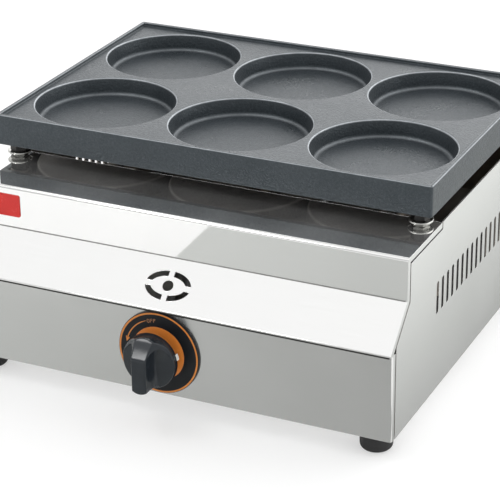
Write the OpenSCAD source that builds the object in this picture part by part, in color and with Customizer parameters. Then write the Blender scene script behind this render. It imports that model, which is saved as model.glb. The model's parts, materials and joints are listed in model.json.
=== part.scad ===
// Gas countertop griddle with a six-well cast mould plate on a folded stainless body.
// Millimetres, +Z up, floor at z = 0, controls face -Y.
// Local y = 0 is the front face of the mould plate; place() centres the whole object.

/* [Mould plate] */
// Width of the cast plate, left to right
plate_width = 380; // [340:2:420]
// Depth of the cast plate, front to back
plate_depth = 260; // [240:2:300]
// Height of the plate from skirt bottom to rim top
plate_height = 26; // [24:0.5:32]
// Width of the raised rim
rim_width = 4; // [3:0.5:6]
// Height of the raised rim above the land
rim_height = 3; // [2:0.5:4]
// Well diameter at the land, before the lip is rounded
well_diameter = 117; // [100:1:118]
// Depth of a well below the land
well_depth = 14.5; // [10:0.5:16]
// Narrowing of a well wall from land to floor, per side
well_draft = 2; // [1:0.25:4]
// Distance between well columns
pitch_x = 124; // [122:0.5:126]
// Distance between well rows
pitch_y = 125; // [122:0.5:128]
// Rounding of the well lip
lip_radius = 1.5; // [0.5:0.25:2]
// Rounding at the well floor
floor_radius = 4; // [2:0.5:6]
// Casting wall thickness
wall = 5.5; // [5:0.5:7]
// Bevel on the plate's outer top edges
plate_bevel = 0.8; // [0.4:0.1:1.2]

/* [Plate studs] */
// Stud diameter
stud_diameter = 8; // [6:0.5:10]
// Distance of a stud from the plate's side face
stud_inset_x = 13.5; // [12:0.5:14]
// Distance of a stud from the plate's front and rear faces
stud_inset_y = 13; // [11:0.5:15]
// Diameter of the casting's boss over a stud
boss_diameter = 18; // [16:0.5:20]
// Gap between the ledges and the plate
plate_gap = 12; // [10:0.5:18]
// Washer diameter
washer_diameter = 20; // [17:0.5:22]
// Washer thickness
washer_height = 1.6; // [1:0.1:2]
// Height of the levelling nut under the washer
levelling_height = 3.2; // [3:0.1:5]
// Nut size across the flats
nut_flats = 13; // [12:0.5:15]
// Length of stud below the ledge
stud_tail = 14; // [8:1:20]
// Radial room of a stud in its ledge hole
stud_room = 0.5; // [0.3:0.1:1]
// Radial play of a thread in the model
thread_play = 0.05; // [0.02:0.01:0.08]

/* [Body] */
// How far the body stands out past the plate on each side
body_overhang = 1; // [0.5:0.5:4]
// Sheet thickness
sheet = 1.2; // [0.8:0.1:1.5]
// Inside radius of a bend in the sheet
bend = 1.4; // [1:0.1:2]
// Height of the folded body
body_height = 141; // [130:1:160]
// Upper front face ahead of the plate
front_margin = 50; // [40:1:60]
// Rear face behind the plate
rear_margin = 25; // [20:1:40]
// Ledge depth behind the upper front face
front_ledge = 72; // [65:1:80]
// Rear ledge depth
rear_ledge = 50; // [45:1:60]
// Height of the control panel
panel_height = 73.5; // [72:0.5:80]
// Height lost over the sloped band
slope_drop = 32.5; // [28:0.5:38]
// Forward run of the sloped band
slope_run = 34; // [30:0.5:38]
// Control panel set back from the lip of the slope
panel_setback = 7; // [5:0.5:10]
// Width of the folded edge returns
edge_return = 4.5; // [3:0.5:6]
// Open seam between two sheets
seam = 1.8; // [0.4:0.1:2.5]
// Width of the inner screw flanges
flange = 14; // [12:1:18]

/* [Openings in the sheet] */
// Number of slots in each side panel
slot_count = 19; // [12:1:20]
// Slot pitch
slot_pitch = 11.25; // [10:0.25:12]
// Slot width
slot_width = 5; // [2:0.25:6]
// Slot length
slot_length = 27.5; // [20:0.5:35]
// First slot behind the plate's front face
slot_start = 16; // [14:1:30]
// Slot top below the ledge level
slot_drop = 47; // [40:1:55]
// Width of the oval vent in the sloped band
vent_width = 39; // [34:1:42]
// Height of the oval vent along the slope
vent_height = 25; // [22:0.5:27]
// Width of the vent's arc slots
vent_slot = 4.6; // [3:0.2:5]
// Width of the bridges across the vent
vent_bridge = 4.6; // [3:0.2:6]
// Diameter of the hole in the middle of the vent
vent_hole = 9; // [6:0.5:11]

/* [Control] */
// Height of the knob axis above the body's bottom
knob_height = 36.5; // [36:0.25:37]
// Place of the knob axis to the right of the middle
knob_offset = -3.5; // [-6:0.5:6]
// Bezel diameter
bezel_diameter = 69.5; // [66:0.5:70]
// Bezel thickness
bezel_height = 2.5; // [2:0.25:3]
// Width of the orange ring let into the bezel's face
bezel_edge = 1.4; // [1:0.1:3]
// Black rim outside the orange ring
bezel_rim = 0.5; // [0.4:0.1:1]
// Knob diameter at the skirt
knob_diameter = 47; // [44:1:48]
// Gap between the bezel and the back of the knob
knob_gap = 9.7; // [9:0.1:12]
// Knob length
knob_length = 24.5; // [22:0.5:28]
// Knob grip width
grip_width = 13; // [12:0.5:16]
// Push travel of the knob
push_travel = 3.5; // [2:0.25:3.75]
// Valve stem diameter
stem_diameter = 8; // [6:0.5:9]
// Radial running clearance of stem and plunger
running = 0.05; // [0.02:0.01:0.09]

/* [Gas line] */
// Burner tube diameter
burner_diameter = 28; // [24:1:32]
// Burner tube wall
burner_wall = 1.5; // [1:0.25:2]
// Mixing tube diameter
mixer_diameter = 21; // [18:1:23]
// Burner axis below the ledge level
burner_drop = 38; // [37:1:40]
// Pipe diameter of the manifold
manifold_diameter = 14; // [12:0.5:16]
// Pipe diameter of the riser and the feed
pipe_diameter = 10; // [8:0.5:11]
// Hose nozzle diameter at its plain end
nozzle_diameter = 9.5; // [8:0.5:10]
// Length of the plain hose nozzle
nozzle_length = 30; // [25:1:40]
// Side of the square valve block
valve_size = 30; // [28:1:32]

/* [Feet and trim] */
// Foot diameter
foot_diameter = 28; // [24:1:32]
// Foot height
foot_height = 18; // [15:0.5:20]
// Foot centre from the sides and ends
foot_inset = 20; // [18:1:24]
// Foot screw diameter
foot_screw = 5; // [4:0.5:6]
// Panel screw diameter
panel_screw = 4; // [3:0.5:4.5]
// Radial room of a screw in its hole
screw_room = 0.25; // [0.1:0.05:0.4]
// Badge width
badge_width = 32; // [24:1:40]
// Badge height
badge_height = 19; // [15:1:22]
// Badge thickness
badge_thickness = 0.8; // [0.5:0.1:1.2]

/* [Hidden] */
$fn = 64;
half_w = plate_width / 2 + body_overhang;
in_w = half_w - sheet;
z_bottom = foot_height;
z_ledge = z_bottom + body_height;
z_lip = z_bottom + panel_height;
z_fold = z_lip + slope_drop;
band_height = z_ledge - z_fold;
z_plate = z_ledge + plate_gap;
z_rim = z_plate + plate_height;
z_land = z_rim - rim_height;
z_floor = z_land - well_depth;
y_band = -front_margin;
y_lip = y_band - slope_run;
y_panel = y_lip + panel_setback;
y_rear = plate_depth + rear_margin;
y_back_in = y_rear - sheet;
y_ledge_end = y_band + front_ledge;
y_rear_ledge = y_rear - rear_ledge;
slope = atan(slope_run / slope_drop);
fold_in = tan(slope / 2);
stud_x = plate_width / 2 - stud_inset_x;
stud_r = stud_diameter / 2;
jam_height = plate_gap - washer_height - levelling_height;
stud_hole = 15;
knob_z = z_bottom + knob_height;
fix_nut = 4;
fix_nut_flats = 22;
knob_back = bezel_height + knob_gap;
knob_tip = knob_back + knob_length;
stem_r = stem_diameter / 2;
plunger_r = stem_r + 2.2;
neck_r = plunger_r + 2.2;
neck_front = bezel_height + fix_nut;
valve_shoulder = 6;
valve_depth = 40;
y_valve = y_panel + sheet + valve_shoulder;
y_valve_end = y_valve + valve_depth;
plunger_length = 8;
plunger_deep = plunger_length + push_travel + 3;
stem_deep = 30;
hub_depth = 16;
z_burner = z_ledge - burner_drop;
y_riser = y_valve_end - pipe_diameter / 2 - 3;
y_manifold = y_riser;
y_jet = y_manifold + manifold_diameter / 2;
jet_hex = 7;
jet_tip = 9;
jet_flats = 10;
jet_root = 2;
jet_thread_r = 3;
jet_wide_r = 3.6;
jet_end_r = 2.4;
jet_bore_r = 0.8;
y_rail = y_ledge_end - 12;
y_tube = y_rail + 26;
y_back_rail = y_rear_ledge - 6;
y_tube_end = y_back_rail - 6;
rail_height = 46;
pin_r = 4;
rail_tab = 12;
z_feed = knob_z - 4;
bulk_flats = 19;
bulk_height = 5;
foot_x = half_w - foot_inset;
foot_front = y_panel + foot_inset;
foot_back = y_rear - foot_inset;
screw_head = 2.4;
foot_nut = 4;
foot_nut_r = 4.6;
foot_head = 3;
foot_seat = 4;
row_inset = 60;
screw_length = 6;
y_front_tip = y_panel - knob_tip;
y_rear_tip = y_rear + bulk_height + nozzle_length;
y_mid = (y_front_tip + y_rear_tip) / 2;
steel = [0.80, 0.81, 0.82];
brass = [0.78, 0.62, 0.30];
dark = [0.20, 0.21, 0.22];

module place() {
  translate([0, -y_mid, 0])
    children();
}

// Shift to the knob axis, which the valve and the gas inlet share.
module at_valve() {
  place()
    translate([knob_offset, 0, 0])
      children();
}

// Profile drawn as (y, z), extruded along x from x0 to x1.
module along_x(x0, x1) {
  translate([x0, 0, 0])
    rotate([90, 0, 90])
      linear_extrude(x1 - x0)
        children();
}

// Cylinder whose axis runs along +y from y0.
module along_y(x, y0, z, length, r) {
  translate([x, y0, z])
    rotate([-90, 0, 0])
      cylinder(h = length, r = r);
}

// Hexagon across the flats, axis along +y.
module hex_y(x, y0, z, length, flats) {
  translate([x, y0, z])
    rotate([-90, 0, 0])
      cylinder(h = length, r = flats / sqrt(3), $fn = 6);
}

module rounded(w, d, r) {
  square([w - 2 * r, d], center = true);
  square([w, d - 2 * r], center = true);
  for (x = [-1, 1], y = [-1, 1])
    translate([x * (w / 2 - r), y * (d / 2 - r)])
      circle(r = r);
}

function unit(v) = v / norm(v);

// Area between the corner p, with sides towards a and b, and a circle of radius r inside it.
// It reaches a little past the corner, so that it joins or cuts cleanly.
module corner(p, a, b, r) {
  u = unit(a - p);
  v = unit(b - p);
  half = acos(u * v) / 2;
  difference() {
    polygon([p - unit(u + v) * 0.3, p + u * r / tan(half), p + v * r / tan(half)]);
    translate(p + unit(u + v) * r / sin(half))
      circle(r = r);
  }
}

module at_studs() {
  for (x = [-1, 1], y = [stud_inset_y, plate_depth - stud_inset_y])
    translate([x * stud_x, y, 0])
      children();
}

module at_feet() {
  for (x = [-1, 1], y = [foot_front, foot_back])
    translate([x * foot_x, y, 0])
      children();
}

module at_wells() {
  for (x = [-1, 0, 1], y = [-0.5, 0.5])
    translate([x * pitch_x, plate_depth / 2 + y * pitch_y, 0])
      children();
}

// Section of one well: rounded lip, drafted wall and rounded floor.
module well_section() {
  r_top = well_diameter / 2;
  r_low = r_top - well_draft;
  lip = [for (a = [0:15:90]) [r_top + lip_radius * (1 - cos(a)), -lip_radius * (1 - sin(a))]];
  low = [for (a = [90:-15:0]) [r_low - floor_radius * (1 - cos(a)),
                               floor_radius * (1 - sin(a)) - well_depth]];
  polygon(concat([[0, -well_depth]], low, lip, [[r_top + lip_radius, 1], [0, 1]]));
}

module plate_block(w, d, r, z0, z1) {
  translate([0, plate_depth / 2, z0])
    linear_extrude(z1 - z0)
      rounded(w, d, r);
}

// Outer block of the plate with bevelled top edges.
module plate_blank() {
  b = plate_bevel;
  d = plate_depth;
  h = plate_width / 2;
  intersection() {
    plate_block(plate_width, plate_depth, 2, z_plate, z_rim);
    along_x(-h, h)
      polygon([[0, z_plate], [d, z_plate], [d, z_rim - b], [d - b, z_rim], [b, z_rim], [0, z_rim - b]]);
    translate([0, d, 0])
      rotate([90, 0, 0])
        linear_extrude(d)
          polygon([[-h, z_plate], [h, z_plate], [h, z_rim - b], [h - b, z_rim], [b - h, z_rim],
                   [-h, z_rim - b]]);
  }
}

// Cast plate: rim, land, six wells, hollow underside with the cups and four stud bosses.
module mould_plate() {
  web = z_land - wall;
  color(dark)
    place()
      difference() {
        union() {
          difference() {
            plate_blank();
            plate_block(plate_width - 2 * wall, plate_depth - 2 * wall, 3, z_plate - 1, web);
          }
          at_wells()
            translate([0, 0, z_floor - wall + 1])
              cylinder(h = web - z_floor + wall, r = well_diameter / 2 + wall - 1);
          at_studs()
            translate([0, 0, z_plate])
              cylinder(h = web + 1 - z_plate, r = boss_diameter / 2);
        }
        plate_block(plate_width - 2 * rim_width, plate_depth - 2 * rim_width, 2, z_land, z_rim + 1);
        at_wells()
          translate([0, 0, z_land])
            rotate_extrude($fn = 128)
              well_section();
        at_studs()
          translate([0, 0, z_plate - 1])
            cylinder(h = stud_hole - 1, r = stud_r + thread_play);
      }
}

module plate_studs() {
  color(steel)
    place()
      at_studs()
        translate([0, 0, z_ledge - stud_tail]) {
          cylinder(h = stud_tail + plate_gap + stud_hole - 2, r = stud_r);
          translate([0, 0, -1])
            cylinder(h = 1, r1 = stud_r - 1, r2 = stud_r);
        }
}

module stud_nut(z0, height) {
  place()
    at_studs()
      translate([0, 0, z0])
        difference() {
          cylinder(h = height, r = nut_flats / sqrt(3), $fn = 6);
          translate([0, 0, -1])
            cylinder(h = height + 2, r = stud_r + thread_play);
        }
}

module jam_nuts() {
  color(steel)
    stud_nut(z_plate - jam_height, jam_height);
}

module stud_washers() {
  color(steel)
    place()
      at_studs()
        translate([0, 0, z_ledge + levelling_height])
          difference() {
            cylinder(h = washer_height, r = washer_diameter / 2);
            translate([0, 0, -1])
              cylinder(h = washer_height + 2, r = stud_r + thread_play);
          }
}

module levelling_nuts() {
  color(steel)
    stud_nut(z_ledge, levelling_height);
}

// Height on the line set d inside the sloped band, at depth y.
function slope_z(y, d) = z_fold + ((y - y_band) * cos(slope) - d) / sin(slope);

// Depth on the line set d inside the sloped band, at height z.
function slope_y(z, d) = y_band + (d + (z - z_fold) * sin(slope)) / cos(slope);

// Section of the bent front sheet: ledge, band, slope and folded lip, with rounded bends.
module cover_section() {
  ledge = [y_ledge_end, z_ledge];
  top = [y_band, z_ledge];
  fold = [y_band, z_fold];
  lip = [y_lip, z_lip];
  tail = [y_panel + sheet, z_lip];
  ledge_in = [y_ledge_end, z_ledge - sheet];
  top_in = [y_band + sheet, z_ledge - sheet];
  fold_inner = [y_band + sheet, z_fold - sheet * fold_in];
  lip_in = [slope_y(z_lip + sheet, sheet), z_lip + sheet];
  difference() {
    polygon([ledge, top, fold, lip, tail, tail + [0, sheet], lip_in, fold_inner, top_in, ledge_in]);
    corner(top, ledge, fold, bend + sheet);
    corner(fold_inner, top_in, lip_in, bend + sheet);
    corner(lip, fold, tail, sheet);
  }
  corner(top_in, ledge_in, fold_inner, bend);
  corner(fold, top, lip, bend);
}

// Narrow strip folded round the end of the bent sheet.
module return_section() {
  d = edge_return;
  ledge = [y_ledge_end, z_ledge];
  top = [y_band, z_ledge];
  fold = [y_band, z_fold];
  lip = [y_lip, z_lip];
  difference() {
    polygon([ledge, top, fold, lip, [slope_y(z_lip, d), z_lip], [y_band + d, z_fold - d * fold_in],
             [y_band + d, z_ledge - d], [y_ledge_end, z_ledge - d]]);
    corner(top, ledge, fold, bend + sheet);
    corner(lip, fold, [y_panel, z_lip], sheet);
  }
}

function oval(w, h) = [for (i = [0:47]) [w / 2 * cos(i * 7.5), h / 2 * sin(i * 7.5)]];

module vent_shape() {
  difference() {
    polygon(oval(vent_width, vent_height));
    polygon(oval(vent_width - 2 * vent_slot, vent_height - 2 * vent_slot));
    square([vent_width + 2, vent_bridge], center = true);
    square([vent_bridge, vent_height + 2], center = true);
  }
  circle(d = vent_hole);
}

module front_cover() {
  color(steel)
    place()
      difference() {
        union() {
          along_x(-half_w, half_w)
            cover_section();
          along_x(-half_w, -in_w)
            return_section();
          along_x(in_w, half_w)
            return_section();
        }
        translate([0, y_band - slope_run / 2, z_fold - slope_drop / 2])
          rotate([90 - slope, 0, 0])
            translate([0, 0, -4])
              linear_extrude(8)
                vent_shape();
        for (x = [-1, 1])
          translate([x * stud_x, stud_inset_y, z_ledge - 5])
            cylinder(h = 10, r = stud_r + stud_room);
      }
}

// Plan of the control panel: a flat sheet with a folded return at each end.
module panel_plan() {
  left = [-half_w, y_panel];
  right = [half_w, y_panel];
  back = [0, edge_return];
  difference() {
    union() {
      translate(left)
        square([2 * half_w, sheet]);
      for (x = [-half_w, in_w])
        translate([x, y_panel])
          square([sheet, edge_return]);
      for (s = [-1, 1])
        corner([s * in_w, y_panel + sheet], [0, y_panel + sheet], [s * in_w, y_panel + edge_return], bend);
    }
    corner(left, right, left + back, bend + sheet);
    corner(right, left, right + back, bend + sheet);
  }
}

module control_panel() {
  color(steel)
    place()
      difference() {
        union() {
          translate([0, 0, z_bottom])
            linear_extrude(z_lip - z_bottom)
              panel_plan();
          translate([-in_w + flange + 2, y_panel + sheet / 2, z_bottom + sheet])
            cube([2 * (in_w - flange - 2), flange, sheet]);
        }
        along_y(knob_offset, y_panel - 2, knob_z, 10, neck_r + thread_play);
      }
}

// Outline of a side panel, set back behind the folded returns of the front sheets.
module side_outline() {
  d = edge_return + seam;
  polygon([[y_panel + d, z_bottom], [y_panel + d, slope_z(y_panel + d, d)],
           [y_band + d, z_fold - d * fold_in], [y_band + d, z_ledge - d],
           [y_ledge_end + seam, z_ledge - d], [y_ledge_end + seam, z_ledge],
           [y_rear, z_ledge], [y_rear, z_bottom]]);
}

module slot_shape(width, length) {
  translate([-width / 2, width / 2 - length])
    square([width, length - width]);
  for (v = [-width / 2, width / 2 - length])
    translate([0, v])
      circle(d = width);
}

// Right-hand panel with its rear and bottom screw flanges.
module side_panel() {
  difference() {
    union() {
      along_x(in_w, half_w)
        side_outline();
      translate([in_w - flange, y_back_in - sheet, z_bottom + sheet])
        cube([flange + 0.1, sheet, body_height - 3 * sheet]);
      translate([in_w - flange, y_panel + edge_return + seam, z_bottom + sheet])
        cube([flange + 0.1, y_back_in - y_panel - edge_return - seam, sheet]);
    }
    for (i = [0:slot_count - 1])
      translate([0, slot_start + i * slot_pitch, z_ledge - slot_drop])
        along_x(in_w - 1, half_w + 1)
          slot_shape(slot_width, slot_length);
    translate([foot_x, foot_front, z_bottom - 1])
      cylinder(h = 8, r = 6);
    translate([foot_x, foot_back, z_bottom - 1])
      cylinder(h = 8, r = 6);
    for (z = screw_levels)
      along_y(half_w - flange / 2, y_back_in - 5, z, 10, panel_screw / 2 + screw_room);
    for (y = screw_rows)
      translate([half_w - flange / 2, y, z_bottom - 1])
        cylinder(h = 8, r = panel_screw / 2 + screw_room);
  }
}

screw_levels = [z_bottom + 20, z_bottom + body_height / 2, z_ledge - 20];
screw_rows = [y_panel + row_inset, (y_panel + y_rear) / 2, y_rear - row_inset];

module right_side_panel() {
  color(steel)
    place()
      side_panel();
}

module left_side_panel() {
  color(steel)
    place()
      mirror([1, 0, 0])
        side_panel();
}

module rear_section() {
  top = [y_rear, z_ledge];
  foot = [y_rear, z_bottom];
  ledge = [y_rear_ledge, z_ledge];
  foot_in = foot - [sheet, 0];
  top_in = top - [sheet, sheet];
  ledge_in = ledge - [0, sheet];
  difference() {
    polygon([ledge, top, foot, foot_in, top_in, ledge_in]);
    corner(top, foot, ledge, bend + sheet);
  }
  corner(top_in, foot_in, ledge_in, bend);
}

// Rear sheet with the ledge for the rear studs, a slot row and the inlet hole.
module rear_panel() {
  color(steel)
    place()
      difference() {
        union() {
          along_x(-in_w + 0.2, in_w - 0.2)
            rear_section();
        }
        for (x = [-1, 1]) {
          translate([x * stud_x, plate_depth - stud_inset_y, z_ledge - 5])
            cylinder(h = 10, r = stud_r + stud_room);
          for (z = screw_levels)
            along_y(x * (half_w - flange / 2), y_back_in - 5, z, 10, panel_screw / 2 + screw_room);
        }
        for (i = [-8:8])
          translate([i * slot_pitch, y_back_in - 1, z_ledge - slot_drop])
            rotate([90, 0, 0])
              translate([0, 0, -4])
                linear_extrude(6)
                  slot_shape(slot_width, slot_length);
        along_y(knob_offset, y_back_in - 5, z_feed, 10, pipe_diameter / 2 + screw_room);
      }
}

module base_pan() {
  color(steel)
    place()
      difference() {
        translate([-in_w + 0.2, y_panel + sheet + 0.2, z_bottom])
          cube([2 * in_w - 0.4, y_back_in - y_panel - sheet - 0.4, sheet]);
        at_feet()
          translate([0, 0, z_bottom - 1])
            cylinder(h = 4, r = foot_screw / 2 + screw_room);
        for (x = [-1, 1], y = screw_rows)
          translate([x * (half_w - flange / 2), y, z_bottom - 1])
            cylinder(h = 4, r = panel_screw / 2 + screw_room);
      }
}

// Bare badge plate at the left of the upper band.
module badge_plate() {
  color([0.80, 0.15, 0.12])
    place()
      translate([-half_w + 35, y_band, z_ledge - band_height / 2 + 1.5])
        rotate([90, 0, 0])
          linear_extrude(badge_thickness)
            rounded(badge_width, badge_height, 2);
}

// Turned section about the knob axis, drawn as (radius, distance in front of the panel).
module turned() {
  at_valve()
    translate([0, y_panel, knob_z])
      rotate([90, 0, 0])
        rotate_extrude($fn = 128)
          children();
}

module knob_bezel() {
  r = bezel_diameter / 2;
  h = bezel_height;
  ring = r - bezel_rim;
  color(dark)
    turned()
      polygon([[neck_r + thread_play, 0], [r, 0], [r, h - bezel_rim], [ring, h], [ring, h / 2],
               [ring - bezel_edge, h / 2], [ring - bezel_edge, h], [neck_r + thread_play, h]]);
}

module bezel_ring() {
  h = bezel_height;
  ring = bezel_diameter / 2 - bezel_rim;
  color([0.86, 0.47, 0.12])
    turned()
      polygon([[ring - bezel_edge, h / 2], [ring, h / 2], [ring, h], [ring - bezel_edge, h]]);
}

// Outline of the grip's ends about the knob axis.
module knob_outer() {
  r = knob_diameter / 2;
  n = knob_length;
  polygon([[0, 0], [r - 1, 0], [r - 1, 5], [r - 2.4, n - 6], [r - 3.4, n - 3], [r - 5, n - 0.8],
           [r - 7, n], [0, n]]);
}

// Skirt and low dome that the grip stands on.
module knob_base() {
  r = knob_diameter / 2;
  polygon([[0, 0], [r - 0.8, 0], [r, 0.8], [r, 3.6], [r - 4, 10.4], [r - 4.5, 10.6], [r - 10, 10.1],
           [0, 9.9]]);
}

// Cross-section of the grip: nearly parallel, flared at its foot.
module grip_shape() {
  g = grip_width / 2;
  n = knob_length;
  half = [[g + 3.6, 0], [g + 3.6, 10.2], [g + 2.1, 12], [g + 0.9, 15], [g + 0.2, 20], [g, n - 1.5],
          [g - 0.4, n - 0.5], [g - 1.4, n]];
  polygon(concat(half, [for (i = [len(half) - 1:-1:0]) [-half[i][0], half[i][1]]]));
}

// Side view of the grip: its upper end leans back for the thumb.
module grip_side() {
  r = knob_diameter / 2;
  n = knob_length;
  polygon([[-r, 0], [r, 0], [r, 4], [r - 4.4, 10.6], [r - 13.8, n - 1], [r - 14.8, n], [-r, n]]);
}

module control_knob() {
  hollow = fix_nut_flats / sqrt(3) + 1.5;
  color(dark)
    at_valve()
      translate([0, y_panel - knob_back, knob_z])
        rotate([90, 0, 0])
          difference() {
            union() {
              rotate_extrude($fn = 128)
                knob_base();
              intersection() {
                rotate_extrude($fn = 128)
                  knob_outer();
                translate([0, knob_diameter, 0])
                  rotate([90, 0, 0])
                    linear_extrude(2 * knob_diameter)
                      grip_shape();
                along_x(-knob_diameter / 2, knob_diameter / 2)
                  grip_side();
              }
            }
            translate([0, 0, -1])
              cylinder(h = 5, r = hollow);
            translate([0, 0, -1])
              cylinder(h = hub_depth + 1, r = stem_r);
          }
}

// Stem with its knob end forward and its blind end inside the valve.
module valve_stem() {
  color(steel)
    at_valve()
      along_y(0, y_panel - knob_back - hub_depth, knob_z, hub_depth + knob_back + stem_deep, stem_r);
}

// Spring cup that travels with the stem and does not turn.
module valve_plunger() {
  color(brass)
    at_valve()
      difference() {
        along_y(0, y_panel - neck_front, knob_z, plunger_length, plunger_r);
        along_y(0, y_panel - neck_front - 1, knob_z, plunger_length + 2, stem_r + running);
      }
}

module valve_body() {
  s = valve_size / 2;
  color(brass)
    at_valve()
      difference() {
        union() {
          translate([-s, y_valve, knob_z - s])
            cube([2 * s, valve_depth, 2 * s]);
          along_y(0, y_panel + sheet, knob_z, valve_shoulder, s - 1);
          along_y(0, y_panel - neck_front, knob_z, neck_front + sheet + 1, neck_r);
        }
        along_y(0, y_panel - neck_front - 1, knob_z, plunger_deep + 1, plunger_r + running);
        along_y(0, y_panel, knob_z, stem_deep + push_travel + 1, stem_r + running);
        translate([0, y_riser, knob_z + s - 6])
          cylinder(h = 7, r = pipe_diameter / 2 + thread_play);
        along_y(0, y_valve_end - 6, z_feed, 7, pipe_diameter / 2 + thread_play);
      }
}

module valve_nut() {
  color(steel)
    at_valve()
      difference() {
        hex_y(0, y_panel - neck_front + 0.5, knob_z, fix_nut - 0.5, fix_nut_flats);
        along_y(0, y_panel - neck_front - 1, knob_z, fix_nut + 2, neck_r + thread_play);
      }
}

// Upright pipe from the valve to the underside of the manifold.
module gas_riser() {
  z0 = knob_z + valve_size / 2 - 6;
  color(steel)
    at_valve()
      difference() {
        translate([0, y_riser, z0])
          cylinder(h = z_burner - z0, r = pipe_diameter / 2);
        translate([0, y_riser, z0 - 1])
          cylinder(h = z_burner - z0 + 2, r = pipe_diameter / 2 - 1.5);
        translate([-30, y_manifold, z_burner])
          rotate([0, 90, 0])
            cylinder(h = 60, r = manifold_diameter / 2);
      }
}

module gas_manifold() {
  reach = pitch_x + 16;
  color(steel)
    place()
      difference() {
        translate([-reach, y_manifold, z_burner])
          rotate([0, 90, 0])
            cylinder(h = 2 * reach, r = manifold_diameter / 2);
        translate([-reach + 2, y_manifold, z_burner])
          rotate([0, 90, 0])
            cylinder(h = 2 * reach - 4, r = manifold_diameter / 2 - 2);
        translate([knob_offset, y_manifold, z_burner - manifold_diameter])
          cylinder(h = manifold_diameter, r = pipe_diameter / 2 - 1.5);
        for (x = [-pitch_x, 0, pitch_x])
          along_y(x, y_manifold, z_burner, manifold_diameter, 3);
      }
}

module gas_jets() {
  color(brass)
    place()
      for (x = [-pitch_x, 0, pitch_x])
        difference() {
          union() {
            along_y(x, y_jet - jet_root, z_burner, 2 * jet_root, jet_thread_r);
            hex_y(x, y_jet, z_burner, jet_hex, jet_flats);
            translate([x, y_jet + jet_hex, z_burner])
              rotate([-90, 0, 0])
                cylinder(h = jet_tip, r1 = jet_wide_r, r2 = jet_end_r);
          }
          along_y(x, y_jet - 5, z_burner, jet_hex + jet_tip + 10, jet_bore_r);
        }
}

// Tube burner along +y: flared mouth, mixing tube, slotted tube and rear pin.
module burner(x) {
  r = burner_diameter / 2;
  m = mixer_diameter / 2;
  mouth = y_jet + jet_hex + 3;
  color(steel)
    place()
      difference() {
        union() {
          along_y(x, mouth, z_burner, y_tube - mouth, m);
          along_y(x, y_rail - 1.5, z_burner, 1.5, m + 4);
          along_y(x, y_tube, z_burner, y_tube_end - y_tube, r);
          along_y(x, y_tube_end - 1, z_burner, y_back_rail - y_tube_end + sheet + 8, pin_r);
          along_y(x, y_tube_end - 1, z_burner, y_back_rail - y_tube_end + 1, pin_r + 3);
        }
        along_y(x, mouth - 1, z_burner, y_tube - mouth + 4, m - burner_wall);
        along_y(x, y_tube + burner_wall, z_burner, y_tube_end - y_tube - 2 * burner_wall,
                r - burner_wall);
        for (i = [0:15], s = [-1, 1])
          translate([x, y_tube + 12 + i * 10, z_burner])
            rotate([0, s * 28, 0])
              translate([-1, 0, r - 4])
                cube([2, 6, 8]);
      }
}

module burner_left() {
  burner(-pitch_x);
}

module burner_middle() {
  burner(0);
}

module burner_right() {
  burner(pitch_x);
}

// Upright sheet between the side panels, with a folded tab at each end.
module rail(y0, hole_r) {
  color(steel)
    place()
      difference() {
        union() {
          translate([-in_w, y0, z_burner - rail_height / 2])
            cube([2 * in_w, sheet, rail_height]);
          for (x = [-in_w, in_w - sheet])
            translate([x, y0, z_burner - rail_height / 2])
              cube([sheet, rail_tab, rail_height]);
        }
        for (x = [-pitch_x, 0, pitch_x])
          along_y(x, y0 - 5, z_burner, 10, hole_r);
      }
}

module burner_front_rail() {
  rail(y_rail, mixer_diameter / 2 + screw_room);
}

module burner_rear_rail() {
  rail(y_back_rail, pin_r + screw_room);
}

module feed_pipe() {
  y0 = y_valve_end - 6;
  color(steel)
    at_valve()
      difference() {
        along_y(0, y0, z_feed, y_rear + bulk_height - y0, pipe_diameter / 2);
        along_y(0, y0 - 1, z_feed, y_rear + bulk_height - y0 + 2, pipe_diameter / 2 - 1.5);
      }
}

// Locking nut of the inlet on the outside of the rear sheet.
module bulkhead_nut() {
  color(brass)
    at_valve()
      difference() {
        hex_y(0, y_rear, z_feed, bulk_height, bulk_flats);
        along_y(0, y_rear - 1, z_feed, bulk_height + 2, pipe_diameter / 2 + thread_play);
      }
}

// Hose nozzle with a collar against the locking nut and two barbs behind a plain end.
module hose_nozzle() {
  r = nozzle_diameter / 2;
  color(brass)
    at_valve()
      translate([0, y_rear + bulk_height, z_feed])
        rotate([-90, 0, 0])
          difference() {
            union() {
              cylinder(h = 3, r = bulk_flats / 2 - 1.5);
              cylinder(h = nozzle_length, r = r);
              for (i = [0, 1])
                translate([0, 0, 6 + i * 4.5])
                  cylinder(h = 3.5, r1 = r + 0.9, r2 = r);
            }
            translate([0, 0, -1])
              cylinder(h = nozzle_length + 2, r = r - 2);
          }
}

// Rubber foot with a rounded bottom edge and a recess for its screw.
module feet() {
  r = foot_diameter / 2;
  h = foot_height;
  bore = foot_screw / 2 + screw_room;
  edge = [for (a = [0:15:90]) [r - 6 + 5 * sin(a), 5 - 5 * cos(a)]];
  color([0.10, 0.10, 0.11])
    place()
      at_feet()
        rotate_extrude()
          polygon(concat([[6, 0]], edge, [[r - 0.6, h - 2], [r, h - 1.5], [r, h], [bore, h],
                                          [bore, 7], [6, 7]]));
}

module foot_screws() {
  color(steel)
    place()
      at_feet() {
        translate([0, 0, foot_seat])
          cylinder(h = foot_head, r = foot_screw / 2 + 2.2);
        translate([0, 0, foot_seat + 1])
          cylinder(h = z_bottom + sheet + foot_nut + foot_head - foot_seat - 1, r = foot_screw / 2);
      }
}

module foot_nuts() {
  color(steel)
    place()
      at_feet()
        translate([0, 0, z_bottom + sheet])
          difference() {
            cylinder(h = foot_nut, r = foot_nut_r, $fn = 6);
            translate([0, 0, -1])
              cylinder(h = foot_nut + 2, r = foot_screw / 2 + thread_play);
          }
}

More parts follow.
